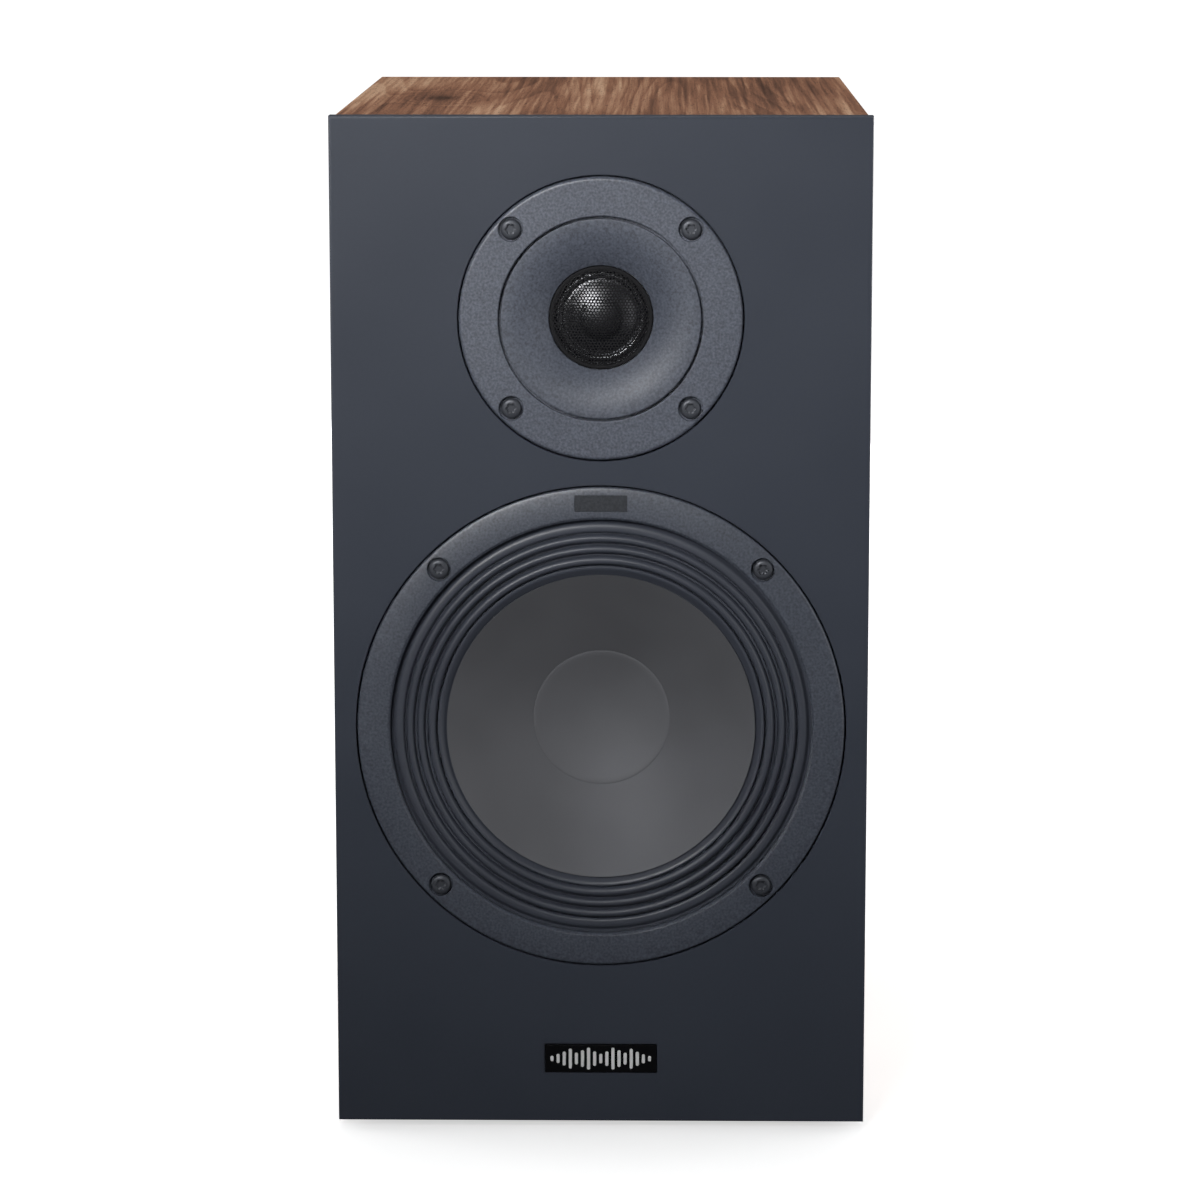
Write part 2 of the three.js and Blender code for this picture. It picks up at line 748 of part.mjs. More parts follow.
// The waveguide flares from the throat to its rim, steep inside and flat outside.
function addWaveguide(parent) {
  const { hornRadius, hornRimDepth, hornCurve, hornLedge } = tweeter;
  const { throatRadius, throatDepth, suspensionDepth } = tweeter;
  const flare = [];
  const steps = 6;
  for (let i = 0; i <= steps; i += 1) {
    const share = i / steps;
    const radius = hornRadius + (throatRadius - hornRadius) * share;
    flare.push([radius, hornRimDepth + (throatDepth - hornRimDepth) * share ** hornCurve]);
  }
  const back = motorFront - fit;
  const roomFront = back - suspensionDepth;
  const suspensionRoom = [[throatRadius, roomFront], [throatRadius + 1, roomFront], [throatRadius + 1, back]];
  const outside = [[hornNeck, back], [hornNeck, hornLedge - fit], [hornRadius, hornLedge - fit]];
  piece(parent, 'tweeter_waveguide', 'satinPlastic', revolve([...flare, ...suspensionRoom, ...outside]));
}

// The perforated dome over the diaphragm, with a raised boss in its middle.
function addGrille(parent) {
  const { thickness, seat, bossRadius, bossRise, meshRise } = grille;
  const rim = tweeter.throatRadius - fit;
  const base = tweeter.throatDepth + seat;
  const top = base - meshRise;
  const front = [
    [rim, base],
    [rim * 0.78, base - meshRise * 0.83],
    [rim * 0.48, top - 0.1],
    [bossRadius, top],
    [bossRadius * 0.82, top - bossRise * 0.54],
    [bossRadius * 0.45, top - bossRise * 0.89],
    [0, top - bossRise],
  ];
  const back = front.map(([radius, depth]) => [radius, depth + thickness]).reverse();
  piece(parent, 'tweeter_mesh_grille', 'mesh', revolve([...front, ...back], facets.medium));
}

function addDome(parent) {
  const { domeRadius, domeRise, domeThickness, throatRadius, coilLength, coilWall } = tweeter;
  const rim = motorFront - 1.6;
  const front = [];
  const steps = 4;
  for (let i = 0; i <= steps; i += 1) {
    const radius = domeRadius * (i / steps);
    front.push([radius, rim - domeRise * (1 - (i / steps) ** 2)]);
  }
  front.push([domeRadius + 1.8, rim - 1], [domeRadius + 3.4, rim], [throatRadius - 0.4, rim]);
  const back = front.map(([radius, depth]) => [radius, depth + domeThickness]).reverse();
  piece(parent, 'tweeter_dome', 'mesh', revolve([...front, ...back], facets.medium));
  const coilFront = rim + domeThickness + fit;
  const coil = tubeRing(domeRadius - coilWall, domeRadius, coilFront, coilFront + coilLength, facets.medium);
  piece(parent, 'tweeter_voice_coil', 'copper', coil);
}

function addTweeterMotor(parent) {
  const { domeRadius, magnetRadius, magnetThickness, magnetClearance, platesThickness } = tweeter;
  const plateBack = motorFront + platesThickness;
  const magnetFront = plateBack + fit;
  const magnetBack = magnetFront + magnetThickness;
  const yokeFront = magnetBack + fit;
  const yokeBack = yokeFront + platesThickness;
  const poleRadius = domeRadius - 1.1;
  const yokeRadius = magnetRadius - tweeter.yokeInset;
  const plate = tubeRing(domeRadius + 0.8, magnetRadius - tweeter.topPlateInset, motorFront, plateBack);
  const magnet = tubeRing(domeRadius + magnetClearance, magnetRadius, magnetFront, magnetBack);
  piece(parent, 'tweeter_top_plate', 'steel', plate);
  piece(parent, 'tweeter_magnet', 'ferrite', magnet);
  const yoke = [
    [0, motorFront],
    [poleRadius, motorFront],
    [poleRadius, yokeFront],
    [yokeRadius, yokeFront],
    [yokeRadius, yokeBack],
    [0, yokeBack],
  ];
  piece(parent, 'tweeter_yoke', 'steel', revolve(yoke));
  return yokeBack;
}

function addTweeter(parent) {
  const driver = group(parent, 0, faceY, tweeterZ);
  const seat = driverScrew.plateSeat - tweeter.plateProud;
  addFacePlate(driver, seat);
  addWaveguide(driver);
  addGrille(driver);
  addDome(driver);
  addDriverScrews(driver, 'tweeter', tweeterScrewCircle, seat);
  return addTweeterMotor(driver);
}

// ---------------------------------------------------------------- reflex port

function addPort(parent) {
  const { boreRadius, wall, flare, flangeRadius, flangeEdge, length } = port;
  const innerMouth = [];
  const outerMouth = [];
  const steps = 4;
  for (let i = 0; i <= steps; i += 1) {
    const turn = (i / steps) * (Math.PI / 2);
    const radius = boreRadius + flare * (1 - Math.cos(turn));
    outerMouth.push([radius, rearProud - flare * (1 - Math.sin(turn))]);
    innerMouth.push([radius, -length + flare * 0.6 * (1 - Math.sin(turn))]);
  }
  const outline = [
    ...outerMouth,
    [flangeRadius - flangeEdge, rearProud],
    [flangeRadius, rearProud - flangeEdge],
    [flangeRadius, fit],
    [portCollar, fit],
    [portCollar, -flare],
    [boreRadius + wall, -flare - 6],
    [boreRadius + wall, -length + flare],
    [boreRadius + flare + wall * 0.4, -length + 1.2],
    ...innerMouth.toReversed(),
  ];
  piece(parent, 'port_tube', 'blackPlastic', revolve(outline), [0, rearY, portZ]);
}

// ---------------------------------------------------------------- terminals

function cupScrewPlaces() {
  return corners(cup.flangeWidth / 2 - cup.screwInset, cup.flangeHeight / 2 - cup.screwInset);
}

function postPlaces() {
  return [['negative', -post.spacing / 2], ['positive', post.spacing / 2]];
}

function boardPillars() {
  return corners(board.width / 2 - board.pillarInset, board.height / 2 - board.pillarInset);
}

function addTerminalCup(parent) {
  const { flangeWidth, flangeHeight, recessWidth, recessHeight, wall, cornerRadius } = cup;
  const face = rearY + rearProud;
  const flange = slab(roundedRectangle(flangeWidth, flangeHeight, cornerRadius), rearY + fit, face, 0.5);
  const box = roundedRectangle(recessWidth + 2 * wall, recessHeight + 2 * wall, cornerRadius - 2);
  const add = [slab(box, cupFloorY - wall, rearY + 1)];
  const recess = roundedRectangle(recessWidth, recessHeight, cornerRadius - 4);
  const bosses = [];
  const holes = [];
  for (const [, x] of postPlaces()) {
    bosses.push(rod(post.bossRadius, cupFloorY - 1, cupFloorY + post.bossHeight).translate(x, 0, 0));
    holes.push(rod(post.stemRadius + fit, cupFloorY - wall - 1, cupFloorY + 10).translate(x, 0, 0));
  }
  for (const [, x, z] of boardPillars()) {
    add.push(rod(board.pillarRadius, boardFront + fit, cupFloorY - 1, facets.small).translate(x, 0, z));
  }
  for (const [, x, z] of cupScrewPlaces()) {
    holes.push(rod(cupScrew.shankRadius + fit, rearY - 1, face + 1, facets.small).translate(x, 0, z));
  }
  const hollow = carve(flange, { add, remove: [slab(recess, cupFloorY, face + 1)] });
  piece(parent, 'terminal_cup', 'blackPlastic', carve(hollow, { add: bosses, remove: holes }), [0, 0, cupZ]);
}

function addCupScrews(parent) {
  const geometry = screwGeometry(cupScrew).rotateX(Math.PI);
  for (const [place, x, z] of cupScrewPlaces()) {
    const y = rearY + rearProud + fit;
    piece(parent, `cup_screw_${place}`, 'blackMetal', geometry.clone(), [x, y, cupZ + z]);
  }
}

// A threaded stem through the cup and the board, a clamp washer and a screw cap that covers the stem's end.
function addBindingPosts(parent) {
  const washerFrom = cupFloorY + post.bossHeight + fit;
  const capFrom = washerFrom + post.washerThickness + fit;
  const capTo = capFrom + post.capLength;
  const stemTo = capTo - post.socketDepth;
  const bore = post.stemRadius + fit;
  const washerTo = washerFrom + post.washerThickness;
  const washer = tubeRing(bore, post.washerRadius, washerFrom, washerTo, facets.medium);
  const cap = revolve([
    [bore, capFrom],
    [post.capRadius - post.capEdge, capFrom],
    [post.capRadius, capFrom + post.capEdge],
    [post.capRadius, capTo - post.capEdge],
    [post.capRadius - post.capEdge, capTo],
    [post.socketRadius, capTo],
    [post.socketRadius, stemTo + fit],
    [bore, stemTo + fit],
  ], facets.medium);
  const stem = rod(post.stemRadius, boardFront - board.thickness - 3, stemTo);
  const capFinish = { negative: 'blackPlastic', positive: 'redPlastic' };
  for (const [pole, x] of postPlaces()) {
    const place = [x, 0, cupZ];
    piece(parent, `${pole}_post_stem`, 'brass', stem.clone(), place);
    piece(parent, `${pole}_clamp_washer`, 'brass', washer.clone(), place);
    piece(parent, `${pole}_screw_cap`, capFinish[pole], cap.clone(), place);
  }
}

// ---------------------------------------------------------------- crossover, on the back of the terminal cup

function addCrossover(parent) {
  const face = boardFront - board.thickness; // the components stand on this face, towards the woofer
  const sheet = slab(rectangle(board.width, board.height), face, boardFront);
  const hole = rod(post.stemRadius + fit, face - 1, boardFront + 1);
  const remove = postPlaces().map(([, x]) => hole.clone().translate(x, 0, 0));
  piece(parent, 'crossover_board', 'circuitBoard', carve(sheet, { remove }), [0, 0, cupZ]);
  const mount = group(parent, 0, face - fit, cupZ);
  for (const [driver, { bore, radius, length, x, z }] of Object.entries(chokes)) {
    piece(mount, `${driver}_choke`, 'copper', tubeRing(bore, radius, -length, 0, facets.medium), [x, 0, z]);
  }
  const wraps = { woofer: 'blackPlastic', tweeter: 'redPlastic' };
  for (const [driver, { radius, length, x, z }] of Object.entries(capacitors)) {
    const can = rod(radius, -length / 2, length / 2).rotateZ(Math.PI / 2);
    piece(mount, `${driver}_capacitor`, wraps[driver], can, [x, -radius, z]);
  }
  const { width, length, z } = resistor;
  piece(mount, 'series_resistor', 'ceramic', new THREE.BoxGeometry(width, width, length), [0, -width / 2, z]);
}

// A lead follows its points as one smooth curve.
function lead(points, radius = 2) {
  const section = new THREE.Shape().absarc(0, 0, radius, 0, 2 * Math.PI);
  const extrudePath = new THREE.CatmullRomCurve3(points.map((p) => new THREE.Vector3(...p)));
  const options = { steps: 22, curveSegments: 3, bevelEnabled: false, extrudePath };
  return new THREE.ExtrudeGeometry(section, options);
}

function addLeads(parent, tweeterBackDepth) {
  const start = boardFront - board.thickness - fit;
  const low = cupZ - board.height / 2;
  const tagY = faceY + landing.depth + 1;
  const tagZ = wooferZ - landing.radius - 7 - fit;
  const dipZ = Math.max(tagZ - 12, inside.low + wadding.clear + wadding.thickness + 5); // over the wadding
  piece(parent, 'woofer_lead', 'blackPlastic', lead([
    [-6, start, low + 6],
    [-6, start - 12, low + 6],
    [-6, start - 40, low + 3],
    [-4, (start + tagY) / 2, low + 6],
    [0, tagY + 22, dipZ],
    [0, tagY + 6, Math.max(tagZ - 9, dipZ)],
    [0, tagY, tagZ - 4],
    [0, tagY, tagZ],
  ]));
  const yokeY = faceY + tweeterBackDepth + 2 * fit;
  piece(parent, 'tweeter_lead', 'blackPlastic', lead([
    [12, start, cupZ + 26],
    [12, start - 4, cupZ + 26],
    [16, start - 16, cupZ + 28],
    [36, start - 30, cupZ + 45],
    [52, start - 46, (cupZ + braceZ) / 2 + 20],
    [54, start - 52, braceZ],
    [46, start - 64, braceZ + 24],
    [28, start - 100, tweeterZ - 18],
    [10, yokeY + 22, tweeterZ - 3],
    [6, yokeY + 5, tweeterZ],
    [6, yokeY, tweeterZ],
  ]));
}

// ---------------------------------------------------------------- the speaker

const speaker = new THREE.Group();
addShell(speaker);
addBaffle(speaker);
addRearPanel(speaker);
addWindowBrace(speaker);
addFeet(speaker);
addBadge(speaker);
addWadding(speaker);
addWoofer(speaker);
const tweeterDepth = addTweeter(speaker);
addPort(speaker);
addTerminalCup(speaker);
addCupScrews(speaker);
addBindingPosts(speaker);
addCrossover(speaker);
addLeads(speaker, tweeterDepth);

export default speaker;
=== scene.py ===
"""Bookshelf speaker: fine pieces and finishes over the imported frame.

Sizes in the classes are millimetres. Each driver, the port and each post is drawn
round its own axis: radius, and depth along the axis from its face.
"""
import logging
import math
from dataclasses import dataclass, field
from enum import Enum
from functools import cache
from typing import Any, Callable, Iterable, Sequence

import bpy
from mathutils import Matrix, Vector
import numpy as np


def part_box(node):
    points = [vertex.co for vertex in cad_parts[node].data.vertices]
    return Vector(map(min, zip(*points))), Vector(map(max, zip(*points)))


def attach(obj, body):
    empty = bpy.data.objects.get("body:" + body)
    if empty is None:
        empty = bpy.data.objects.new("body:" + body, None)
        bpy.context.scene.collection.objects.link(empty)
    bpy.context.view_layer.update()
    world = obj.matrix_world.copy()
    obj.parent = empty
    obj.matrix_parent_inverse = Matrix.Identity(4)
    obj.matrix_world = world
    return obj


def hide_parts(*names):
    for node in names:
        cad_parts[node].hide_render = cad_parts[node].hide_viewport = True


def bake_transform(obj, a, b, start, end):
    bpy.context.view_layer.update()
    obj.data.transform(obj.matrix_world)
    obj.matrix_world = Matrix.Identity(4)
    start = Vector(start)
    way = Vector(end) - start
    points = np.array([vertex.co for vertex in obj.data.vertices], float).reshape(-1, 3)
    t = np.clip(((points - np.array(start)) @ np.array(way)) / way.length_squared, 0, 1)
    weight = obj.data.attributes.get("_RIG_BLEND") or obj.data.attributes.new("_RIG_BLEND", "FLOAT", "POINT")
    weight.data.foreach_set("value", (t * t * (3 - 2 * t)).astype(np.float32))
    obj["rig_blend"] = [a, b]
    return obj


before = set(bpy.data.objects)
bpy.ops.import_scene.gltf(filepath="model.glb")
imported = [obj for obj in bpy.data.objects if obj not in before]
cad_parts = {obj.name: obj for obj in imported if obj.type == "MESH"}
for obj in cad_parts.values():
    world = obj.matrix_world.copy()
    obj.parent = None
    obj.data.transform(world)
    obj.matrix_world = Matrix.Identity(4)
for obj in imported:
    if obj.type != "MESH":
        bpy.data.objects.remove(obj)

logging.basicConfig(level=logging.INFO, format="%(name)s: %(message)s")
log = logging.getLogger("speaker")

MM = 0.001
Outline = Sequence[tuple[float, float]]
Piece = bpy.types.Object
Tree = bpy.types.NodeTree
Socket = bpy.types.NodeSocket

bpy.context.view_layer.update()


# ---------------------------------------------------------------- shaping


@dataclass(frozen=True)
class Axis:
    """A turning axis: where radius and depth are nought, and the two directions."""

    origin: Vector
    along: Vector = field(default_factory=lambda: Vector((0, 1, 0)))
    out: Vector = field(default_factory=lambda: Vector((1, 0, 0)))

    def point(self, radius: float, depth: float) -> Vector:
        """The place in metres of a radius and a depth in millimetres."""
        return self.origin + self.out * (radius * MM) + self.along * (depth * MM)

    def shifted(self, x: float, z: float) -> "Axis":
        """A parallel axis, moved across and up by millimetres."""
        return Axis(self.origin + Vector((x, 0, z)) * MM, self.along, self.out)


def select_only(piece: Piece) -> None:
    """Leaves the piece active and the only one selected."""
    bpy.ops.object.select_all(action="DESELECT")
    piece.select_set(True)
    bpy.context.view_layer.objects.active = piece


def select_vertices(piece: Piece, test: Callable[[Vector], bool]) -> None:
    """Selects, in edit mode, the vertices whose place passes the test.

    Args:
        piece: The piece, in edit mode.
        test: Takes a place in metres.
    """
    bpy.ops.mesh.select_mode(type="VERT")
    bpy.ops.mesh.select_all(action="DESELECT")
    bpy.ops.object.mode_set(mode="OBJECT")
    for vertex in piece.data.vertices:
        vertex.select = test(vertex.co)
    bpy.ops.object.mode_set(mode="EDIT")


def select_edges(piece: Piece, test: Callable[[Vector, Vector], bool]) -> None:
    """Selects, in edit mode, the edges whose two ends pass the test.

    Args:
        piece: The piece, in edit mode.
        test: Takes the two ends' places in metres.
    """
    bpy.ops.mesh.select_mode(type="EDGE")
    bpy.ops.mesh.select_all(action="DESELECT")
    bpy.ops.object.mode_set(mode="OBJECT")
    places = piece.data.vertices
    for edge in piece.data.edges:
        edge.select = test(*(places[i].co for i in edge.vertices))
    bpy.ops.object.mode_set(mode="EDIT")


def settle_place(piece: Piece) -> None:
    """Puts the piece's place, turn and size into its mesh."""
    select_only(piece)
    bpy.ops.object.transform_apply(location=True, rotation=True, scale=True)


def turned(name: str, outline: Outline, axis: Axis, steps: int = 96, ring: bool = True) -> Piece:
    """Spins an outline about an axis.

    Args:
        name: The piece's name.
        outline: Points of radius and depth in millimetres.
        axis: The turning axis.
        steps: Facets in a whole turn.
        ring: Whether the outline closes on itself, away from the axis.

    Returns:
        The closed, turned piece.
    """
    points = [axis.point(radius, depth) for radius, depth in outline]
    bpy.ops.object.select_all(action="DESELECT")
    bpy.ops.mesh.primitive_plane_add(size=MM, location=points[0])
    piece = bpy.context.object
    piece.name = piece.data.name = name
    settle_place(piece)
    bpy.ops.object.mode_set(mode="EDIT")
    bpy.ops.mesh.select_mode(type="VERT")
    bpy.ops.mesh.select_all(action="SELECT")
    bpy.ops.mesh.merge(type="CENTER")
    stops = [*points[1:], points[0]] if ring else points[1:]
    for before, after in zip(points, stops):
        bpy.ops.mesh.extrude_region_move(TRANSFORM_OT_translate={"value": after - before})
    bpy.ops.mesh.select_all(action="SELECT")
    bpy.ops.mesh.spin(steps=steps, angle=math.tau, center=axis.origin, axis=axis.along)
    tidy_shell()
    bpy.ops.object.mode_set(mode="OBJECT")
    return piece


def tidy_shell() -> None:
    """Merges doubles and turns every face out, in edit mode."""
    bpy.ops.mesh.select_all(action="SELECT")
    bpy.ops.mesh.remove_doubles(threshold=2e-6)
    bpy.ops.mesh.dissolve_degenerate(threshold=1e-6)
    bpy.ops.mesh.select_all(action="SELECT")
    bpy.ops.mesh.normals_make_consistent(inside=False)


def block(
    name: str, low: Sequence[float], high: Sequence[float], edge: float = 0.0, rounds: int = 1
) -> Piece:
    """A squared block with bevelled edges.

    Args:
        name: The piece's name.
        low: Lowest corner in metres.
        high: Highest corner in metres.
        edge: Width of the bevel in millimetres.
        rounds: Facets across the bevel.

    Returns:
        The block.
    """
    low, high = Vector(low), Vector(high)
    bpy.ops.object.select_all(action="DESELECT")
    bpy.ops.mesh.primitive_cube_add(size=1, location=(low + high) / 2, scale=high - low)
    piece = bpy.context.object
    piece.name = piece.data.name = name
    settle_place(piece)
    if edge:
        bpy.ops.object.mode_set(mode="EDIT")
        bpy.ops.mesh.select_all(action="SELECT")
        bpy.ops.mesh.bevel(offset=edge * MM, segments=rounds, affect="EDGES")
        bpy.ops.object.mode_set(mode="OBJECT")
    return piece


def rounded_block(
    name: str, low: Sequence[float], high: Sequence[float], corner: float, edge: float = 0.0
) -> Piece:
    """A block whose four edges along Y are rounded, and whose rims are bevelled.

    Args:
        name: The piece's name.
        low: Lowest corner in metres.
        high: Highest corner in metres.
        corner: Radius of the four edges in millimetres.
        edge: Width of the rims' bevel in millimetres.

    Returns:
        The block.
    """
    piece = block(name, low, high)
    bpy.ops.object.mode_set(mode="EDIT")
    select_edges(piece, lambda a, b: abs(a.y - b.y) > MM / 2)
    bpy.ops.mesh.bevel(offset=corner * MM, segments=10, affect="EDGES")
    if edge:
        select_edges(piece, lambda a, b: abs(a.y - b.y) < 1e-6)
        bpy.ops.mesh.bevel(offset=edge * MM, segments=2, affect="EDGES")
    bpy.ops.object.mode_set(mode="OBJECT")
    return piece


def apply_modifier(piece: Piece, kind: str, **settings: Any) -> None:
    """Adds a modifier with its settings and applies it.

    Args:
        piece: The piece.
        kind: The modifier's type.
        **settings: Its settings by name.
    """
    select_only(piece)
    bpy.ops.object.modifier_add(type=kind)
    modifier = piece.modifiers[-1]
    for setting, value in settings.items():
        setattr(modifier, setting, value)
    bpy.ops.object.modifier_apply(modifier=modifier.name)


def join_cut(piece: Piece, tools: Iterable[Piece], how: str = "DIFFERENCE") -> None:
    """Cuts the tools out of the piece, or joins them on, and clears them away.

    Args:
        piece: The piece.
        tools: Shapes that don't touch one another.
        how: The Boolean operation.
    """
    tools = list(tools)
    select_only(tools[0])
    for tool in tools:
        tool.select_set(True)
    if len(tools) > 1:
        bpy.ops.object.join()
    tool = bpy.context.view_layer.objects.active
    apply_modifier(piece, "BOOLEAN", object=tool, operation=how, solver="EXACT")
    bpy.data.objects.remove(tool)


def smooth(piece: Piece, angle: float = 32.0) -> None:
    """Shades the piece smooth up to an angle, with flat faces kept flat.

    Args:
        piece: The piece.
        angle: The sharpest turn that is smoothed, in degrees.
    """
    select_only(piece)
    bpy.ops.object.shade_smooth_by_angle(angle=math.radians(angle))
    apply_modifier(piece, "WEIGHTED_NORMAL", keep_sharp=True)


def copied(piece: Piece, name: str, shift: Vector) -> Piece:
    """A copy with its own mesh, moved by a shift in metres.

    Args:
        piece: The finished master, not yet dressed.
        name: The copy's name.
        shift: How far it moves.

    Returns:
        The copy.
    """
    select_only(piece)
    bpy.ops.object.duplicate(linked=False)
    twin = bpy.context.object
    twin.name = twin.data.name = name
    bpy.ops.transform.translate(value=shift)
    settle_place(twin)
    return twin


def fluted(name: str, radii: Sequence[float], repeats: int, stops: Outline, axis: Axis) -> Piece:
    """A rod whose section repeats a short pattern of radii, drawn along its axis.

    Args:
        name: The piece's name.
        radii: The pattern of radii in millimetres.
        repeats: How often it goes round.
        stops: Points of scale and depth along the axis.
        axis: The rod's axis, along Y.

    Returns:
        The closed rod.
    """
    start = axis.point(0, stops[0][1])
    bpy.ops.object.select_all(action="DESELECT")
    bpy.ops.mesh.primitive_circle_add(
        vertices=len(radii) * repeats,
        radius=max(radii) * MM,
        fill_type="NGON",
        location=start,
        rotation=(math.pi / 2, 0, 0),
    )
    piece = bpy.context.object
    piece.name = piece.data.name = name
    settle_place(piece)
    bpy.ops.object.mode_set(mode="EDIT")
    step = math.tau / (len(radii) * repeats)

    def phase(place: Vector) -> int:
        """Which radius of the pattern a place belongs to."""
        turn = math.atan2(place.z - start.z, place.x - start.x)
        return round(turn / step) % len(radii)

    for i, radius in enumerate(radii):
        if radius < max(radii):
            select_vertices(piece, lambda place: phase(place) == i)
            bpy.ops.transform.resize(value=(radius / max(radii),) * 3, center_override=start)
    bpy.ops.mesh.select_all(action="SELECT")
    first = stops[0][0]
    if first != 1:
        bpy.ops.transform.resize(value=(first,) * 3, center_override=start)
    for (scale, depth), (next_scale, next_depth) in zip(stops, stops[1:]):
        step_along = axis.along * ((next_depth - depth) * MM)
        bpy.ops.mesh.extrude_region_move(TRANSFORM_OT_translate={"value": step_along})
        if next_scale != scale:
            centre = axis.point(0, next_depth)
            bpy.ops.transform.resize(value=(next_scale / scale,) * 3, center_override=centre)
    tidy_shell()
    bpy.ops.object.mode_set(mode="OBJECT")
    return piece


def arc(
    centre: tuple[float, float], radius: float, start: float, end: float, steps: int
) -> list[tuple[float, float]]:
    """Points of an arc in an outline.

    Args:
        centre: Radius and depth of its centre.
        radius: Its own radius.
        start: Angle of the first point in degrees, from outwards towards deeper.
        end: Angle of the last point.
        steps: Parts between them.

    Returns:
        The points, both ends included.
    """
    turns = [math.radians(start + (end - start) * i / steps) for i in range(steps + 1)]
    return [(centre[0] + radius * math.cos(t), centre[1] + radius * math.sin(t)) for t in turns]


# ---------------------------------------------------------------- finishes

NOISE_LOW, NOISE_HIGH = 0.3, 0.7  # nearly all values of a noise lie between these


def linear(colour: str) -> tuple[float, float, float, float]:
    """Turns an sRGB colour to linear light.

    Args:
        colour: Six hex digits after a hash.

    Returns:
        Red, green, blue and alpha.
    """
    parts = [int(colour[i:i + 2], 16) / 255 for i in (1, 3, 5)]
    red, green, blue = (c / 12.92 if c <= 0.04045 else ((c + 0.055) / 1.055) ** 2.4 for c in parts)
    return red, green, blue, 1.0


def add(tree: Tree, kind: str, inputs: dict[Any, Any] | None = None, **settings: Any) -> bpy.types.Node:
    """Adds a node with its settings and links.

    Args:
        tree: The node tree.
        kind: The node's type.
        inputs: Values, or sockets to link, by input name or number.
        **settings: The node's own settings.

    Returns:
        The node.
    """
    node = tree.nodes.new(kind)
    for setting, value in settings.items():
        setattr(node, setting, value)
    for key, value in (inputs or {}).items():
        if isinstance(value, Socket):
            tree.links.new(value, node.inputs[key])
        else:
            node.inputs[key].default_value = value
    return node


def set_stops(node: bpy.types.Node, stops: Sequence[tuple[float, str]]) -> None:
    """Gives a colour ramp its stops.

    Args:
        node: The ramp.
        stops: Places from 0 to 1, and sRGB hex colours.
    """
    elements = node.color_ramp.elements
    while len(elements) < len(stops):
        elements.new(1.0)
    for element, (place, colour) in zip(elements, stops):
        element.position = place
        element.color = linear(colour)


@dataclass(frozen=True)
class Finish:
    """A finish: its name, its slot, and the shader's plain values."""

    name: str
    slot: str
    colour: str
    roughness: float = 0.5
    metallic: float = 0.0
    ior: float = 1.5
    specular: float = 0.5
    coat: float = 0.0

    def pattern(self, tree: Tree, place: Socket) -> dict[str, Socket]:
        """The sockets that drive colour, roughness and normal.

        Args:
            tree: The material's node tree.
            place: Object coordinates in millimetres.

        Returns:
            Sockets by the shader's input name.
        """
        return {}

    @cache
    def material(self) -> bpy.types.Material:
        """Makes the finish as one material, only once.

        Returns:
            The material.
        """
        made = bpy.data.materials.new(self.name)
        made.use_nodes = True
        tree = made.node_tree
        tree.nodes.clear()
        where = add(tree, "ShaderNodeTexCoord").outputs["Object"]
        place = add(tree, "ShaderNodeVectorMath", {0: where, "Scale": 1 / MM}, operation="SCALE")
        values: dict[str, Any] = {
            "Base Color": linear(self.colour),
            "Roughness": self.roughness,
            "Metallic": self.metallic,
            "Coat Weight": self.coat,
        }
        if not self.metallic:
            values |= {"IOR": self.ior, "Specular IOR Level": self.specular}
        shader = add(tree, "ShaderNodeBsdfPrincipled", values | self.pattern(tree, place.outputs[0]))
        add(tree, "ShaderNodeOutputMaterial", {"Surface": shader.outputs[0]})
        return made


@dataclass(frozen=True)
class Grained(Finish):
    """A moulded, sprayed or cast skin: a fine even grain with a soft drift in tone.

    The grain's bump breaks the highlight into a satin speckle. A grain above 0.3 mm is
    drawn coarser than the real one, so that it still shows from a metre away.
    """

    grain: float = 0.4  # size of one grain
    depth: float = 0.02
    speckle: float = 0.1  # how far single grains stray in tone
    drift: float = 0.06  # how far whole areas stray
    drift_size: float = 45.0
    rough_drift: float = 0.03

    def pattern(self, tree: Tree, place: Socket) -> dict[str, Socket]:
        """Grain in the normal and tone, drift in tone and roughness.

        Args:
            tree: The material's node tree.
            place: Object coordinates in millimetres.

        Returns:
            Sockets by the shader's input name.
        """
        fine, wide = (
            add(tree, "ShaderNodeTexNoise", {"Vector": place, "Scale": 1 / size, "Detail": 2.0}).outputs["Fac"]
            for size in (self.grain, self.drift_size)
        )
        spread, sway, rough = (
            add(
                tree,
                "ShaderNodeMapRange",
                {"Value": value, 1: NOISE_LOW, 2: NOISE_HIGH, 3: middle - reach, 4: middle + reach},
            ).outputs[0]
            for value, middle, reach in (
                (fine, 1, self.speckle),
                (wide, 1, self.drift),
                (wide, self.roughness, self.rough_drift),
            )
        )
        tone = add(tree, "ShaderNodeMath", {0: spread, 1: sway}, operation="MULTIPLY")
        colour = add(
            tree,
            "ShaderNodeVectorMath",
            {0: linear(self.colour)[:3], "Scale": tone.outputs[0]},
            operation="SCALE",
        )
        bump = add(tree, "ShaderNodeBump", {"Height": fine, "Strength": 1.0, "Distance": self.depth * MM})
        return {"Base Color": colour.outputs[0], "Roughness": rough, "Normal": bump.outputs[0]}


